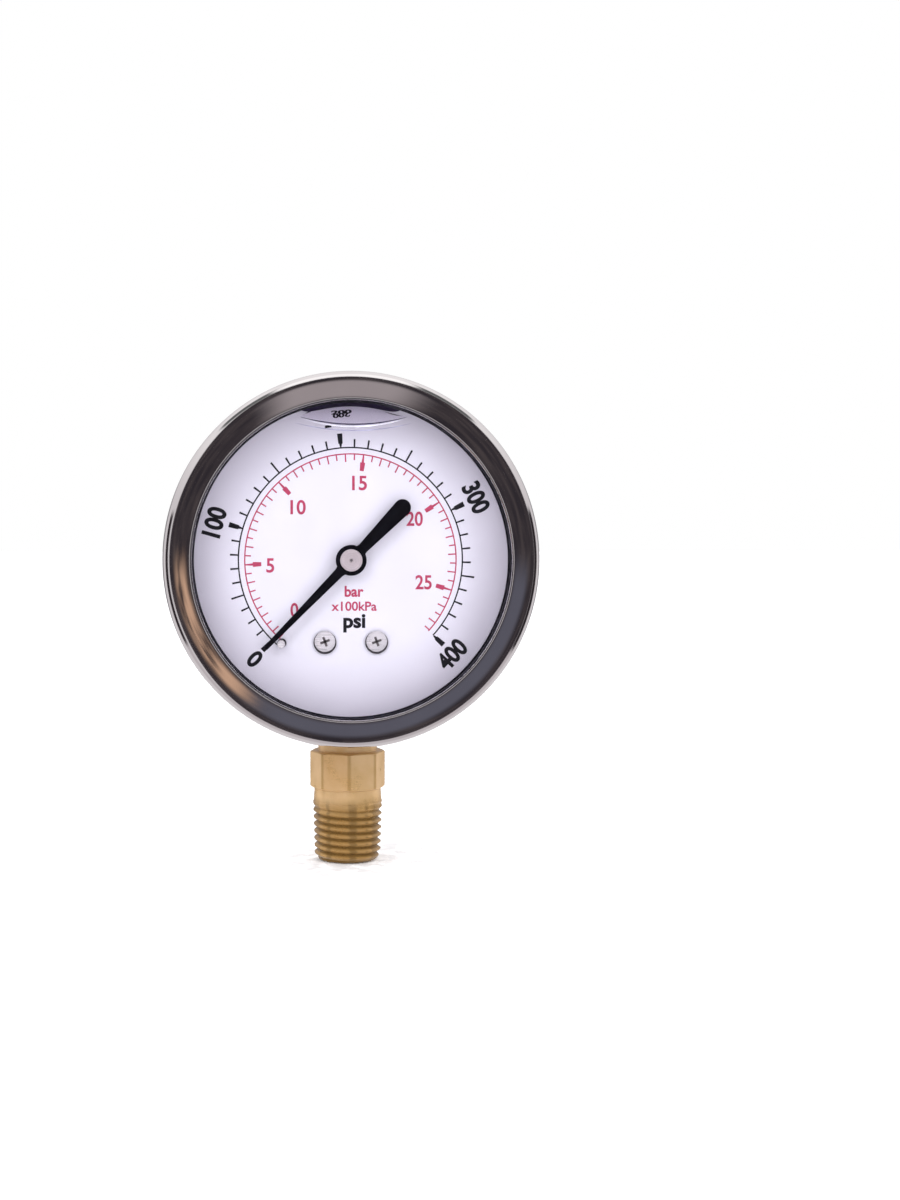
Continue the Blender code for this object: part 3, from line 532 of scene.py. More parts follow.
def make_case():
    """Drawn can with a rounded rear edge and a front flange, holed for the stem and the fill plug."""
    back = case_high.y
    edge = 1.6 * MM
    inner = CASE_RADIUS - CASE_WALL
    flange = bezel_high.y - BEZEL_SHEET - CLEARANCE
    rim = BEZEL_RADIUS - 1.3 * MM
    profile = [(0.0, back), (CASE_RADIUS - 3 * edge, back)]
    for step in range(9):
        angle = step * pi / 16
        profile.append((CASE_RADIUS - edge * (1 - sin(angle)), back - edge * (1 - cos(angle))))
    # The first and second of these points keep the shading of the straight side straight.
    profile += [(CASE_RADIUS, back - edge - 0.2 * MM), (CASE_RADIUS, flange + 0.7 * MM),
                (CASE_RADIUS, flange + 0.5 * MM), (CASE_RADIUS + 0.1 * MM, flange + 0.15 * MM),
                (CASE_RADIUS + 0.4 * MM, flange), (rim, flange), (rim, case_low.y), (inner, case_low.y),
                (inner, back - edge), (inner - CASE_WALL, back - CASE_WALL), (0.0, back - CASE_WALL)]
    case = turned("case_shell", profile, case_steel)
    for name, radius, low, high, y in (("outlet_cutter", 6.3, 20, 36, 0),
                                       ("filler_cutter", 5.3, 85, 95, PLUG_Y)):
        hole = near(0.0, 0.0, (0, low), (radius, low), (radius, high), (0, high))
        cut(case, turned(name, hole, case_steel, "Z", (0, y, 0), 64))
    settle(case, BODY, "case_steel", "case")


def make_gasket():
    """Rubber channel round the window's edge; its front leg shows as a thin ring inside the lip."""
    foremost, hindmost, outer = gasket_low.y, gasket_high.y, gasket_high.x
    front, rear = window_low.y - CLEARANCE, window_high.y + CLEARANCE
    opening = LIP_RADIUS - 0.2 * MM
    groove = window_high.x + CLEARANCE
    profile = [(opening + 0.15 * MM, foremost), (groove - 0.9 * MM, foremost), (outer, front + 0.7 * MM),
               (outer, hindmost), (opening, hindmost), (opening, rear), (groove, rear), (groove, front),
               (opening, front), (opening, front - 0.35 * MM)]
    settle(turned("front_gasket", profile, gasket_rubber), BODY, "gasket_rubber", "window_gasket")


# ---- fill plug and stem ----
def saddle(name, inner, outer, top, bottom, material, centre, steps=96):
    """A ring about Z whose upper and lower faces are curved across X like the case."""
    skin = Skin()
    rings = []
    for radius, height in ((inner, top), (outer, top), (outer, bottom), (inner, bottom)):
        ring = []
        for i in range(steps):
            angle = 2 * pi * i / steps
            x, y = radius * sin(angle), radius * cos(angle)
            ring.append((centre[0] + x, centre[1] + y, centre[2] + height(x)))
        rings.append(ring)
    for i in range(4):
        skin.band(rings[i], rings[(i + 1) % 4])
    return skin.make(name, material, 40)


def make_plug():
    """Rubber fill plug: a low domed head with a moulded rim, saddled to the case, on a push-in shank."""
    head, shank = (plug_high.x - plug_low.x) / 2, 5.0 * MM
    top, edge, low = plug_high.z - DIAL_Z, CASE_RADIUS + 0.6 * MM, plug_low.z - DIAL_Z
    neck = shank - 0.4 * MM
    rim, brow = (head, edge - 0.15 * MM), (head - 1.3 * MM, top - 0.42 * MM)
    profile = [(0.0, low)] + near(shank, low, (-0.9, 0), (-0.7, 0.1), (0, 1.2))
    profile += [(shank, CASE_RADIUS - 2.2 * MM), (neck, CASE_RADIUS - 1.6 * MM),
                (neck, CASE_RADIUS - 0.2 * MM), (head, CASE_RADIUS - 1.2 * MM), rim]
    profile += bow(rim, (head, edge + 0.75 * MM), brow, 8)
    profile += bow(brow, (head - 2.3 * MM, top), (head - 3.9 * MM, top), 8)
    profile += [(1.3 * MM, top), (1.1 * MM, top - 0.12 * MM), (0.0, top - 0.15 * MM)]
    plug = turned("vent_plug_rubber", profile, plug_rubber, "Z", (0, PLUG_Y, DIAL_Z), 96)
    seat = saddle("plug_seat_cutter", neck, head + MM,
                  lambda x: sqrt((CASE_RADIUS + CLEARANCE) ** 2 - x * x),
                  lambda x: CASE_RADIUS - 2.0 * MM, plug_rubber, (0, PLUG_Y, DIAL_Z))
    cut(plug, seat)
    settle(plug, "vent_plug", "plug_rubber", "fill_plug")


def make_washer():
    """Thin washer bent to the case's curve."""
    inner, outer = 6.3 * MM, (washer_high.x - washer_low.x) / 2
    top, bottom = CASE_RADIUS + CLEARANCE, CASE_RADIUS + 1.2 * MM
    washer = saddle("saddle_washer", inner, outer, lambda x: -sqrt(top ** 2 - x * x),
                    lambda x: -sqrt(bottom ** 2 - x * x), washer_steel, (0, 0, DIAL_Z))
    settle(washer, BODY, "washer_steel", "stem_washer")


STEM_STEPS = 192  # facets round the stem
FOOT_RADIUS = 5.8 * MM  # the chamfered end of the thread
# One turn of the thread, from a crest upwards: share of the pitch, share of the depth.
THREAD_ROWS = ((0.00, 0.05), (0.03, 0.0), (0.11, 0.0), (0.15, 0.06), (0.46, 0.92), (0.50, 1.0), (0.62, 1.0),
               (0.66, 0.92))


def thread_radius(z, groove):
    """Radius of the tapered thread, fading into the shank above and the chamfer below."""
    fade = min(1.0, max(0.0, (THREAD_TOP - z) / (1.6 * PITCH)))
    full = THREAD_RADIUS - (THREAD_TOP - z) / TAPER
    chamfer = FOOT_RADIUS + z * 0.75
    return min(max(full - THREAD_DEPTH * groove * fade, FOOT_RADIUS), chamfer)


def add_thread(skin):
    """Rows of points along the helix, clamped to the thread's end planes."""
    turns = ceil(THREAD_TOP / PITCH) + 1
    rows = len(THREAD_ROWS)

    def spot(row, column):
        row += rows * (column // STEM_STEPS)
        column %= STEM_STEPS
        share, groove = THREAD_ROWS[row % rows]
        z = PITCH * (row // rows - 1 + share + column / STEM_STEPS)
        z = min(THREAD_TOP, max(0.0, z))
        radius, angle = thread_radius(z, groove), 2 * pi * column / STEM_STEPS
        return (radius * sin(angle), radius * cos(angle), z)

    for row in range(rows * (turns + 1)):
        for column in range(STEM_STEPS):
            skin.face((spot(row, column), spot(row, column + 1),
                       spot(row + 1, column + 1), spot(row + 1, column)))


def octagon(angle, apothem):
    """Distance to an octagon's side. The high power rounds its corners slightly."""
    power, total = 70, 0.0
    for side in range(8):
        facing = cos(angle - (side + 0.5) * pi / 4)
        if facing > 0:
            total += (facing / apothem) ** power
    return total ** (-1 / power)


def stem_ring(z, radius, apothem=None):
    """Ring of the stem at a height: round, or an octagon whose corners the radius cuts off."""
    ring = []
    for i in range(STEM_STEPS):
        angle = 2 * pi * i / STEM_STEPS
        reach = min(radius, octagon(angle, apothem)) if apothem else radius
        ring.append((reach * sin(angle), reach * cos(angle), z))
    return ring


def make_stem():
    """Thread, shank, chamfered octagon, neck, collar and spigot, then the block inside the case."""
    skin = Skin()
    add_thread(skin)
    apothem, corner = OCTAGON_APOTHEM, 7.47 * MM
    slope, first = tan(radians(24)), apothem - 0.20 * MM
    levels = [first + (corner - first) * i / 9 for i in range(10)]
    shoulder = THREAD_TOP + 0.15 * MM
    rings = [stem_ring(THREAD_TOP, THREAD_RADIUS), stem_ring(shoulder, 6.72 * MM),
             stem_ring(OCTAGON_LOW, 6.55 * MM)]
    rings += [stem_ring(OCTAGON_LOW + (reach - first) * slope, reach, apothem) for reach in levels]
    rings += [stem_ring(OCTAGON_TOP - (reach - first) * slope, reach, apothem) for reach in reversed(levels)]
    neck, collar, spigot, post, ease = 5.8 * MM, 7.1 * MM, 6.0 * MM, 3.6 * MM, 0.15 * MM
    low, high, spigot_top = 24.7 * MM, 26.4 * MM, 32.6 * MM
    for z, radius in ((OCTAGON_TOP, neck + ease), (OCTAGON_TOP + ease, neck), (low, neck),
                      (low, collar - ease), (low + ease, collar), (high - ease, collar),
                      (high, collar - ease), (high, spigot), (spigot_top, spigot), (spigot_top, post),
                      (stem_high.z - MM, post)):
        rings.append(stem_ring(z, radius))
    for lower, upper in zip(rings, rings[1:]):
        skin.band(lower, upper)
    skin.face(rings[-1])
    skin.face(stem_ring(stem_low.z, FOOT_RADIUS))
    stem = skin.make("stem_body", stem_brass, 32)
    block = Skin()
    half, bottom, top = 7.0 * MM, 31.6 * MM, stem_high.z
    outline = rounded([(-half, bottom), (half, bottom), (half, top), (-half, top)], 1.2 * MM)
    block.slab(outline, -4.0 * MM, 8.2 * MM)
    cut(stem, block.make("block", stem_brass), "UNION")
    bore = near(0.0, 0.0, (0, -1), (4.0, -1), (2.5, 0.5), (2.5, 8.0), (1.5, 9.0), (1.5, 39.5), (0, 40.5))
    cut(stem, turned("bore_cutter", bore, stem_brass, "Z", (0, 0, 0), 64))
    hole = near(0.0, 0.0, (0, -5.0), (1.3, -5.0), (1.3, 1), (0, 1))
    for side in (-1, 1):
        cut(stem, turned("screw_hole_cutter", hole, stem_brass, "Y", (side * 5.0 * MM, 0, 36.2 * MM), 32))
    settle(stem, BODY, "stem_brass", "stem")


# ---- dial: screws, stop pin, print ----
def make_shadow_seat(name, x, z, radius, rear):
    """Dark washer-shaped disc of painted shadow that shows as a crescent below a bright head."""
    depth = 0.3 * MM
    profile = [(0.0, rear - depth), (radius, rear - depth), (radius, rear), (0.0, rear)]
    settle(turned(name, profile, seat_shadow, "Y", (x, 0, z), 48), BODY, "dial_screw_steel")


def make_dial_screw(side):
    """A domed screw head with a small cross recess whose floor is a dark piece of painted shade, on a dark
    washer-shaped disc of painted shadow.
    """
    low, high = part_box("dial_screw_" + side)
    x, z = (low.x + high.x) / 2, (low.z + high.z) / 2
    # The head sits a little above the screw's centre, so that the disc of painted shadow shows as a crescent
    # below it.
    lift, head = 0.20 * MM, 1.96 * MM
    front, rear = low.y, DIAL_Y - CLEARANCE * 0.9
    make_shadow_seat("dial_screw_shadow_seat_" + side, x, z - 0.02 * MM, 2.17 * MM, rear)
    back = rear - 0.32 * MM
    profile = [(0.0, front)] + bow((0.0, front), (head - 0.45 * MM, front), (head, front + 0.62 * MM), 10)
    profile += [(head, back), (1.05 * MM, back), (0.0, back)]
    screw = turned("dial_screw_head_" + side, profile, screw_steel, "Y", (x, 0, z + lift), 64)
    # The recess's floor is a separate dark piece of painted shade.
    floor = Skin()
    for turn in (0.35, 0.35 + pi / 2):
        for skin, half, width, top, foot in ((Skin(), 0.95, 0.24, -0.5, 0.38),
                                             (floor, 0.93, 0.22, 0.30, 0.37)):
            outline = []
            for u, v in ((-half, -width), (half, -width), (half, width), (-half, width)):
                outline.append((x + (u * cos(turn) - v * sin(turn)) * MM,
                                z + lift + (u * sin(turn) + v * cos(turn)) * MM))
            skin.slab(outline, front + top * MM, front + foot * MM)
            if skin is not floor:
                cut(screw, skin.make("recess_cutter", screw_steel))
    settle(floor.make("dial_screw_recess_shade_" + side, recess_shade), BODY, "dial_screw_steel")
    settle(screw, BODY, "dial_screw_steel", "dial_screw_" + side)


def make_stop_pin():
    """Turned peg at the foot of the scale that the resting pointer leans on."""
    x, z = (pin_low.x + pin_high.x) / 2, (pin_low.z + pin_high.z) / 2
    radius = (pin_high.x - pin_low.x) / 2
    front, rear = pin_low.y, pin_high.y
    reach = radius - 0.17 * MM
    profile = near(0.0, front, (0, 0.12), (0.35, 0.1), (0.5, 0))
    profile += bow((0.5 * MM, front), (reach, front), (reach, front + 0.2 * MM), 4)
    profile += [(reach, rear - 0.32 * MM), (0.0, rear - 0.32 * MM)]
    # A dark disc of painted shadow behind the peg shows as a crescent at its upper right.
    make_shadow_seat("stop_peg_shadow_seat", x + 0.03 * MM, z, radius - 0.04 * MM, rear)
    peg = turned("stop_peg", profile, screw_steel, "Y", (x - 0.12 * MM, 0, z - 0.1 * MM), 48)
    settle(peg, BODY, "pin_steel", "stop_pin")


INK_REAR = DIAL_Y - 0.002 * MM
INK_FRONT = DIAL_Y - 0.022 * MM


def psi(value):
    """Dial angle of a pressure on the black scale, whose first step to 20 psi is drawn a little short."""
    return ZERO if value == 0 else radians(132.4 - (400 - value) * 0.687)


def bar(value):
    """Dial angle of a pressure on the red scale."""
    return psi(14.504 * value)


def strip(skin, radius, width, start, end, steps=160):
    """A printed arc."""
    sides = []
    for edge in (radius - width / 2, radius + width / 2):
        places = arc((0, DIAL_Z), edge, start, end, steps)
        sides.append([[(x, y, z) for x, z in places] for y in (INK_FRONT, INK_REAR)])
    (inner_front, inner_rear), (outer_front, outer_rear) = sides
    for i in range(steps):
        for one, other in ((inner_front, outer_front), (inner_rear, outer_rear), (inner_front, inner_rear),
                           (outer_front, outer_rear)):
            skin.face((one[i], one[i + 1], other[i + 1], other[i]))
    for i in (0, steps):
        skin.face((inner_front[i], outer_front[i], outer_rear[i], inner_rear[i]))


def tick(skin, angle, start, end, start_width, end_width):
    """A printed mark from one radius to another, which may taper."""
    outline = []
    for radius, half in ((start, -start_width / 2), (end, -end_width / 2), (end, end_width / 2),
                         (start, start_width / 2)):
        x, z = polar(radius, angle)
        outline.append((x + half * cos(angle), z - half * sin(angle)))
    skin.slab(outline, INK_FRONT, INK_REAR)


def letters(skin, text, right, up, height, width, turn=0.0, weight=0.035):
    """Sets text in Blender's own font, centred on a place and fitted to a size, all in millimetres."""
    curve = bpy.data.curves.new("text", "FONT")
    curve.body = text
    curve.extrude = 0.01
    curve.offset = weight
    curve.resolution_u = 6
    word = show(bpy.data.objects.new("text", curve))
    graph = bpy.context.evaluated_depsgraph_get()
    mesh = bpy.data.meshes.new_from_object(word.evaluated_get(graph))
    xs = [v.co.x for v in mesh.vertices]
    ys = [v.co.y for v in mesh.vertices]
    middle = ((min(xs) + max(xs)) / 2, (min(ys) + max(ys)) / 2)
    stretch = (width * MM / (max(xs) - min(xs)), height * MM / (max(ys) - min(ys)))
    places = []
    for vertex in mesh.vertices:
        u, v = (vertex.co.x - middle[0]) * stretch[0], (vertex.co.y - middle[1]) * stretch[1]
        x = right * MM + u * cos(turn) + v * sin(turn)
        z = DIAL_Z + up * MM + v * cos(turn) - u * sin(turn)
        places.append((x, INK_FRONT if vertex.co.z > 0 else INK_REAR, z))
    for polygon in mesh.polygons:
        skin.face([places[i] for i in polygon.vertices])
    bpy.data.objects.remove(word)
    bpy.data.curves.remove(curve)
    bpy.data.meshes.remove(mesh)


def make_scale(name, material, radius, line, side, marks, mark_widths, majors, knee, tip, wedge_widths):
    """Prints an arc with fine marks on its outer (1) or inner (-1) side, and wedges at the majors."""
    skin = Skin()
    strip(skin, radius, line, psi(20) - radians(13.0), psi(400))
    edge = radius + side * line / 2
    for angle, reach in marks:
        tick(skin, angle, edge, radius + side * reach, *mark_widths)
    for angle in majors:
        tick(skin, angle, edge, knee, 0.26 * MM, wedge_widths[0])
        tick(skin, angle, knee, tip, *wedge_widths[1:])
    settle(skin.make(name, material), BODY, "dial_enamel")


def make_scales():
    """Outer scale of 0 to 400 psi, marked every 10, and inner scale of 0 to 28 bar, marked every half."""
    marks = [(psi(value), (1.6 if value % 50 else 2.5) * MM) for value in range(20, 400, 10) if value % 100]
    make_scale("print_scale_black", black_ink, 21.2 * MM, 0.26 * MM, 1, marks, (0.29 * MM, 0.36 * MM),
               [psi(value) for value in range(0, 401, 100)], 22.0 * MM, 23.9 * MM,
               (0.55 * MM, 0.8 * MM, 1.0 * MM))
    marks = [(bar(half / 2), (1.15 if half % 2 else 1.5) * MM) for half in range(1, 56) if half % 10]
    make_scale("print_scale_red", red_ink, 20.0 * MM, 0.24 * MM, -1, marks, (0.24 * MM, 0.26 * MM),
               [bar(value) for value in range(5, 26, 5)], 18.5 * MM, 16.9 * MM,
               (0.45 * MM, 0.95 * MM, 0.75 * MM))


def make_numerals():
    """Numbers and units. The 200 lies under the air bubble: it is printed squashed to a dark smudge, a
    painted stand-in for the bubble's refraction.
    """
    black, red = Skin(), Skin()
    for text, x, z, height, width, flip in (("100", -25.67, 7.20, 3.7, 5.6, 0),
                                            ("300", 23.77, 11.78, 3.7, 5.9, 0),
                                            ("400", 19.29, -17.97, 3.6, 6.0, pi),
                                            ("0", -18.17, -18.71, 3.5, 2.1, 0)):
        letters(black, text, x, z, height, width, atan2(x, z) + flip)
    # Two squashed copies of the 200 and a dark mark paint the bubble's refraction onto the dial.
    for width, height, up, turn in ((3.9, 0.75, 27.85, -4), (3.3, 0.85, 27.25, 174)):
        letters(black, "200", -1.75, up, height, width, radians(turn), 0.05)
    tick(black, radians(-9.6), 25.25 * MM, 25.75 * MM, 1.3 * MM, 1.1 * MM)
    letters(black, "psi", 0.70, -12.0, 3.5, 4.2)
    settle(black.make("print_numerals_black", black_ink), BODY, "dial_enamel")
    for text, x, z, width in (("0", -10.65, -9.47, 1.5), ("5", -15.20, -1.02, 1.5), ("10", -9.93, 9.96, 2.9),
                              ("15", 1.67, 14.51, 2.8), ("20", 12.11, 7.78, 3.1), ("25", 13.83, -4.24, 3.1)):
        letters(red, text, x, z, 2.75, width, 0.0, 0.02)
    letters(red, "bar", 0.65, -5.95, 2.1, 3.6, 0.0, 0.03)
    letters(red, "x100kPa", 0.65, -8.75, 1.8, 8.6, 0.0, 0.02)
    settle(red.make("print_numerals_red", red_ink), BODY, "dial_enamel")


# ---- pointer ----
def make_pointer():
    """Stamped pointer with a blunt tip, a hub disc and a tail that widens to a round end."""
    side = near(0.0, 0.0, (0.42, 23.15), (0.45, 22.7), (0.62, 14.0), (0.92, 3.2))
    side += arc((0.0, 0.0), 2.9 * MM, radians(22), radians(158), 24)
    side += [(1.0 * MM, -3.2 * MM)]
    side += arc((0.0, -13.8 * MM), 1.6 * MM, radians(86), radians(180), 12)
    outline = []
    for u, v in side + [(-x, z) for x, z in reversed(side[:-1])]:
        outline.append((u * cos(ZERO) + v * sin(ZERO), DIAL_Z + v * cos(ZERO) - u * sin(ZERO)))
    skin = Skin()
    skin.slab(outline, pointer_low.y, pointer_high.y)
    pointer = skin.make("pointer_blade", pointer_black)
    bevel = pointer.modifiers.new("edges", "BEVEL")
    bevel.width = 0.12 * MM
    bevel.segments = 3
    bevel.limit_method = "ANGLE"
    bevel.angle_limit = radians(50)
    settle(pointer, SPINDLE, "pointer_black", "pointer")


def make_bush():
    """Turned bush in the pointer's hub: a flat face with a rounded edge, a groove and a centre dimple with a
    dark disc of painted shade in it.
    """
    radius = (bush_high.x - bush_low.x) / 2
    front, rear = bush_low.y, bush_high.y
    flange = pointer_low.y - 0.02 * MM
    profile = near(0.0, front, (0, 0.30), (0.25, 0.26), (0.42, 0.06), (0.55, 0.03), (0.75, 0.10), (1.0, 0.07),
                   (1.3, 0))
    profile += bow((radius - 0.3 * MM, front), (radius, front), (radius, front + 0.3 * MM), 6)
    profile += [(radius, flange), (1.2 * MM, flange), (1.2 * MM, rear), (0.9 * MM, rear),
                (0.9 * MM, front + 0.5 * MM), (0.0, front + 0.5 * MM)]
    bush = turned("pointer_hub", profile, bush_steel, "Y", (0, 0, DIAL_Z), 96)
    settle(bush, SPINDLE, "bush_steel", "pointer_bush")
    # A dark disc in the centre dimple is painted shade.
    mark = near(0.0, front, (0, 0.20), (0.27, 0.20), (0.27, 0.32), (0, 0.32))
    settle(turned("pointer_hub_dimple_shade", mark, recess_shade, "Y", (0, 0, DIAL_Z), 32), SPINDLE, "bush_steel")


# ---- fill surface and its bubble ----
def smile(u):
    """Front edge of the liquid, against the window, for u from -1 to 1 across it."""
    return ((0.35 + 9.95 * u) * MM, window_high.y + 0.06 * MM, DIAL_Z + (25.35 + 1.35 * u * u) * MM)


def brow_line(u):
    """Rear edge of the liquid, against the dial."""
    return ((0.03 + 8.05 * u) * MM, DIAL_Y - 0.12 * MM, DIAL_Z + (28.91 - 1.15 * u * u - 0.2 * u) * MM)


def make_fill_shadow():
    """The dark crescent over the liquid, where the dial's top edge lies in the shade of the bezel."""
    skin = Skin()
    columns, reach, rim = 60, 9.6 * MM, 29.9 * MM
    front, rear = DIAL_Y - 0.10 * MM, DIAL_Y - 0.04 * MM
    sides = []
    for i in range(columns + 1):
        x = reach * (-1 + 2 * i / columns)
        share = x / reach
        top = DIAL_Z + sqrt(rim * rim - x * x)
        depth = (1.0 + 0.30 * share * share) * MM * (1 - abs(share) ** 7) + 0.01 * MM
        sides.append([(x, front, top), (x, front, top - depth), (x, rear, top - depth), (x, rear, top)])
    for lower, upper in zip(sides, sides[1:]):
        skin.band(lower, upper)
    skin.face(sides[0])
    skin.face(sides[-1])
    settle(skin.make("fill_shadow", shade_paint), BODY, "window_clear")


def make_fill_surface():
    """The liquid's free surface: a thin curved sheet from the window up and back to the dial."""
    skin = Skin()
    columns, rows, thickness = 48, 12, 0.05 * MM
    top = []
    for i in range(columns + 1):
        u = -1 + 2 * i / columns
        start, end = Vector(smile(u)), Vector(brow_line(u))
        line = []
        for j in range(rows + 1):
            t = j / rows
            point = start.lerp(end, t)
            point.z += (t - t ** 1.6) * 0.25 * MM
            line.append(tuple(point))
        top.append(line)
    under = [[(x, y, z - thickness) for x, y, z in line] for line in top]
    for sheet in (top, under):
        for i in range(columns):
            for j in range(rows):
                skin.face((sheet[i][j], sheet[i + 1][j], sheet[i + 1][j + 1], sheet[i][j + 1]))
    border = [(i, 0) for i in range(columns)] + [(columns, j) for j in range(rows)]
    border += [(i, rows) for i in range(columns, 0, -1)] + [(0, j) for j in range(rows, 0, -1)]
    skin.band([top[i][j] for i, j in border], [under[i][j] for i, j in border])
    settle(skin.make("fill_surface", fill_skin), BODY, "window_clear")


def make_menisci():
    """Lines where the liquid climbs the window: a dark rim, a bright glint that is a painted highlight, and a
    faint second rim.
    """
    last, sides, middle = 40, 8, 0.35 * MM
    for name, drop, spread, radius, material in (("meniscus_rim", 0.0, 1.0, 0.13 * MM, meniscus_dark),
                                                 ("meniscus_glint", 0.42, 0.93, 0.14 * MM, meniscus_highlight),
                                                 ("meniscus_echo", 1.15, 1.08, 0.10 * MM, meniscus_faint)):
        skin = Skin()
        rings = []
        for i in range(last + 1):
            x, y, z = smile(-1 + 2 * i / last)
            x, y, z = (x - middle) * spread + middle, window_high.y + 0.2 * MM, z - drop * MM
            size = radius * max(0.12, sin(pi * (i / last)) ** 0.5)  # thin at both ends
            rings.append([(x, y + 0.5 * size * cos(2 * pi * k / sides), z + size * sin(2 * pi * k / sides))
                          for k in range(sides)])
        for lower, upper in zip(rings, rings[1:]):
            skin.band(lower, upper)
        skin.face(rings[0])
        skin.face(rings[-1])
        settle(skin.make(name, material), BODY, "window_clear")


# ---- Bourdon tube ----
def make_tube():
    """Flattened bronze tube bent to a C from the stem's block round to the tip."""
    low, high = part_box("bourdon_tube")
    ring_radius, thickness = 22.5 * MM, 2.8 * MM
    middle, width = (low.y + high.y) / 2, high.y - low.y
    start = pi + atan2(7.85 * MM, ring_radius) - 2 * pi
    stop = radians(135)
    skin = Skin()
    shells = []
    for shrink, end in ((0.0, stop), (0.35 * MM, stop - radians(3))):
        rings = []
        for i in range(97):
            angle = start + (end - start) * i / 96
            ring = []
            for k in range(28):
                around = 2 * pi * k / 28
                flat = abs(cos(around)) ** 0.55 * (1 if cos(around) > 0 else -1)
                reach = ring_radius + (thickness / 2 - shrink) * sin(around)
                ring.append((reach * sin(angle), middle + (width / 2 - shrink) * flat,
                             DIAL_Z + reach * cos(angle)))
            rings.append(ring)
        for lower, upper in zip(rings, rings[1:]):
            skin.band(lower, upper)
        skin.face(rings[-1])
        shells.append(rings)
    skin.band(shells[0][0], shells[1][0])
    tube = skin.make("bourdon_coil", tube_bronze)
    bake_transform(tube)
    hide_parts("bourdon_tube")


# ---- finishes of the CAD nodes that stay ----
def finish_nodes():
    """Gives every CAD node that still shows its procedural finish, by its slot in the record."""
    finishes = {"window_clear": window_clear, "seal_rubber": gasket_rubber, "dial_enamel": dial_enamel,
                "restrictor_brass": movement_brass, "movement_brass": movement_brass,
                "pin_steel": pin_steel, "link_steel": pin_steel, "arbor_steel": pin_steel,
                "hairspring_bronze": tube_bronze, "screw_steel": screw_steel}
    for part in frame["record"]["subparts"]:
        node = frame["nodes"][part["node"]]
        finish = finishes.get(part["material_slot"])
        if finish and not node.hide_render:
            node.data.materials.clear()
            node.data.materials.append(finish)


# ---- studio ----
def make_floor():
    """Pale floor just under the foot of the stem."""
    skin = Skin()
    size = 3.0
    skin.slab([(-size, -1.2 * MM), (size, -1.2 * MM), (size, -0.3 * MM), (-size, -0.3 * MM)], -size, size)
    floor = skin.make("floor", floor_paint)
    floor.visible_glossy = False


def aim(obj, place, target):
    """Puts a camera or a light somewhere and points it at a target."""
    obj.location = place
    obj.rotation_mode = "QUATERNION"
    obj.rotation_quaternion = (target - place).to_track_quat("-Z", "Y")


def make_camera():
    """The viewing angle: almost level, from just left of straight ahead."""
    data = bpy.data.cameras.new("camera")
    camera = show(bpy.data.objects.new("camera", data))
    bpy.context.scene.camera = camera
    azimuth, elevation, distance = radians(-2.47), radians(3.02), 0.3346
    target = Vector((0.0, -8 * MM, 50 * MM))
    back = Vector((sin(azimuth) * cos(elevation), -cos(azimuth) * cos(elevation), sin(elevation)))
    aim(camera, target + back * distance, target)
    data.lens = 52.07
    data.sensor_width = 36
    data.shift_x = 0.0839
    data.shift_y = 0.00666
    data.clip_start = 0.01
    data.clip_end = 20


def make_light(name, place, power):
    """A soft disc that faces the gauge and that metals don't mirror."""
    data = bpy.data.lights.new(name, "AREA")
    data.shape = "DISK"
    data.size = 0.5
    data.energy = power
    light = show(bpy.data.objects.new(name, data))
    aim(light, Vector(place), Vector((0, 0, 50 * MM)))
    light.visible_glossy = False


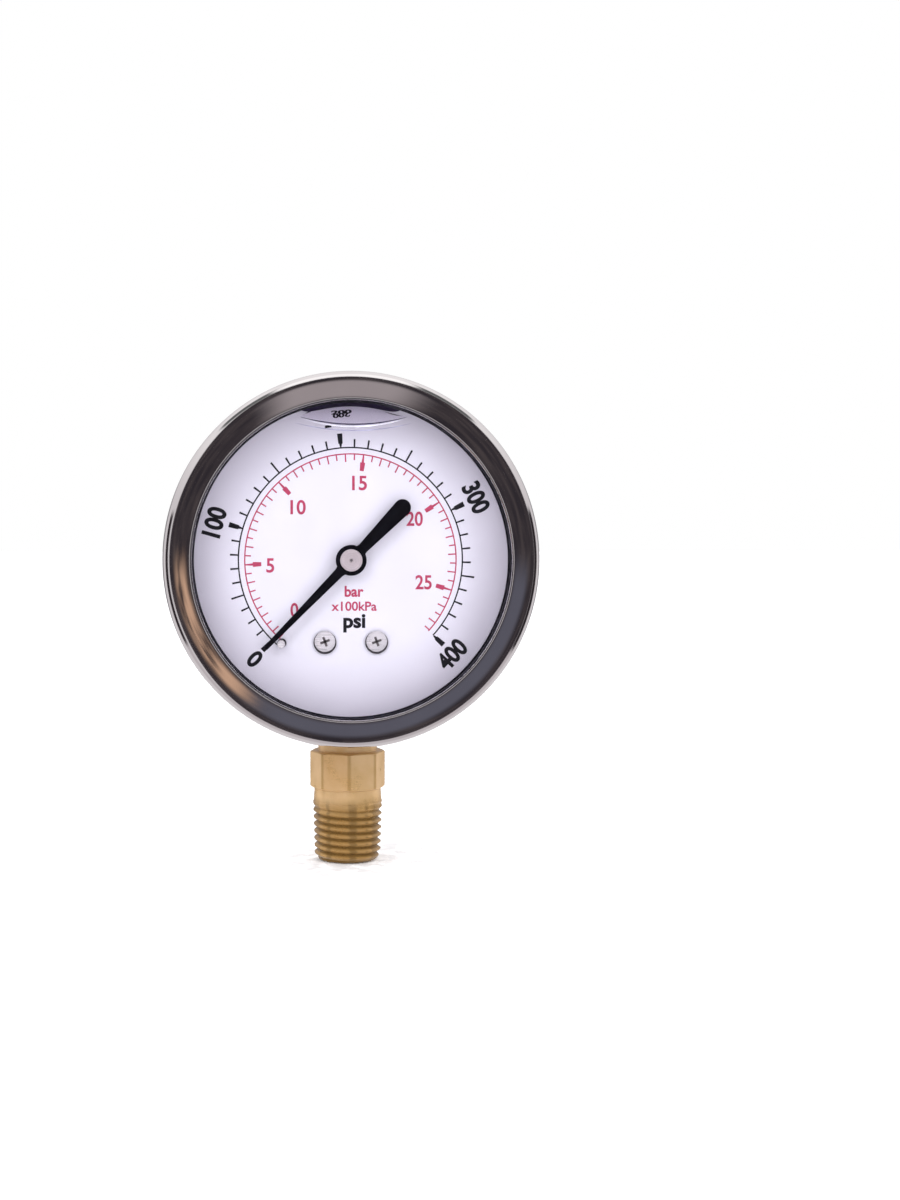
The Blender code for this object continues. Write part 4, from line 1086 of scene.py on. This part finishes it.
def make_world():
    """White room for the eye, soft even light for paint, and a designed set of cards for the metals.

    Directions are read from the world's own axes, so the reflections stay where they are in any view.
    """
    world = bpy.data.worlds.new("studio")
    bpy.context.scene.world = world
    world.cycles.sampling_method = "NONE"
    g = Graph(world)
    x, y, z = g.split(g.node("ShaderNodeTexCoord").outputs["Generated"])
    degrees = 180 / pi
    off_front = g.times(g.math("ARCCOSINE", g.times(y, -1.0)), degrees)
    height = g.times(g.math("ARCSINE", z), degrees)
    clock = g.times(g.math("ARCTAN2", x, z), degrees)

    def within(value, low, high, soft):
        return g.times(g.ramp(value, low - soft, low + soft), g.ramp(value, high + soft, high - soft))

    turn = g.times(clock, 1 / degrees)
    up, across = g.math("COSINE", turn), g.math("SINE", turn)
    streak = g.noise(g.join(g.times(clock, 0.06), g.times(off_front, 0.12), 0.0), 1.0, 3.0)
    # The front ring of dark cards shapes the bezel's slope; it reaches a little less far on the left.
    reach = g.ramp(g.plus(across, g.times(up, up)), -0.7, 0.4, 70.0, 79.0)
    front_ring = g.times(g.ramp(off_front, 14.0, 20.0), g.ramp(g.minus(off_front, reach), 2.5, -2.5))
    front_cards = g.mix(g.ramp(streak, 0.35, 0.75), (0.034, 0.029, 0.036), (0.085, 0.070, 0.072))
    # Below and to the right the ring turns blue-grey; below and to the left it catches something copper.
    low_right = g.ramp(g.minus(up, g.times(g.ramp(across, 0.05, 0.35), 0.75)), -0.72, -0.95)
    copper = g.times(within(clock, -146, -94, 8), within(off_front, 29, 52, 6))
    flank = g.ramp(g.math("ABSOLUTE", y), 0.24, 0.14)
    colour = g.mix(g.ramp(z, 0.2, 0.9), (0.78, 0.75, 0.765), (1.05, 1.03, 1.03))
    for mask, card in (
            (front_ring, front_cards),
            (g.ramp(off_front, 15.0, 10.0), (0.10, 0.095, 0.11)),  # straight ahead
            (g.times(within(clock, -25, 25, 9), within(off_front, 24, 60, 4)), (0.40, 0.355, 0.365)),
            (g.times(low_right, within(off_front, 28, 56, 6)), (0.125, 0.125, 0.160)),
            (g.times(copper, g.ramp(streak, 0.30, 0.60)), (0.72, 0.46, 0.31)),
            # To the left and right, for the bands on the case's side.
            (g.times(flank, g.ramp(height, -26, -31)), (0.62, 0.575, 0.595)),
            (g.times(flank, within(height, -29, 14, 1.5)), (0.030, 0.024, 0.028)),
            (g.times(flank, within(height, 46, 66, 2)), (0.15, 0.155, 0.155)),
            (g.times(flank, g.ramp(height, 66, 72)), (1.3, 1.28, 1.28)),
            (g.times(g.ramp(y, 0.5, 0.8), within(height, -14, 12, 6)), (0.30, 0.29, 0.30))):  # behind
        colour = g.mix(mask, colour, card)
    rays = g.node("ShaderNodeLightPath").outputs
    seen = g.mix(rays["Is Glossy Ray"], (1.34, 1.33, 1.37), colour)
    seen = g.mix(rays["Is Camera Ray"], seen, (1.0, 1.0, 1.0))
    background = g.nodes["Background"]
    g.link(seen, background.inputs["Color"])
    background.inputs["Strength"].default_value = 1.0


# ---- build ----
fill_skin = pane("fill_skin", (0.98, 0.965, 1.0), 1.03, 0.08)
shade_paint = paint("shade_paint", (0.020, 0.012, 0.045), 0.4)
# Paint of the painted shadows behind the dial screws' heads and the stop peg.
seat_shadow = paint("seat_shadow", (0.045, 0.04, 0.045), 0.5)
# Paint of the painted shade in the screw recesses and the hub's dimple.
recess_shade = paint("recess_shade", (0.13, 0.115, 0.115), 0.5)
meniscus_dark = paint("meniscus_dark", (0.05, 0.045, 0.09), 0.3)
# Paint of the painted highlight just under the liquid's edge.
meniscus_highlight = paint("meniscus_highlight", (0.90, 0.90, 0.95), 0.3)
meniscus_faint = paint("meniscus_faint", (0.42, 0.41, 0.55), 0.3)
floor_paint = paint("floor_paint", (0.92, 0.92, 0.92), 0.6)

make_bezel()
make_case()
make_gasket()
make_plug()
make_washer()
make_stem()
make_dial_screw("left")
make_dial_screw("right")
make_stop_pin()
make_scales()
make_numerals()
make_pointer()
make_bush()
make_fill_surface()
make_fill_shadow()
make_menisci()
make_tube()
finish_nodes()
make_floor()
make_camera()
make_light("key", (-0.35, -0.55, 0.55), 2.0)
make_light("fill", (0.5, -0.45, 0.25), 1.0)
make_world()

bpy.context.scene.view_settings.view_transform = "Standard"
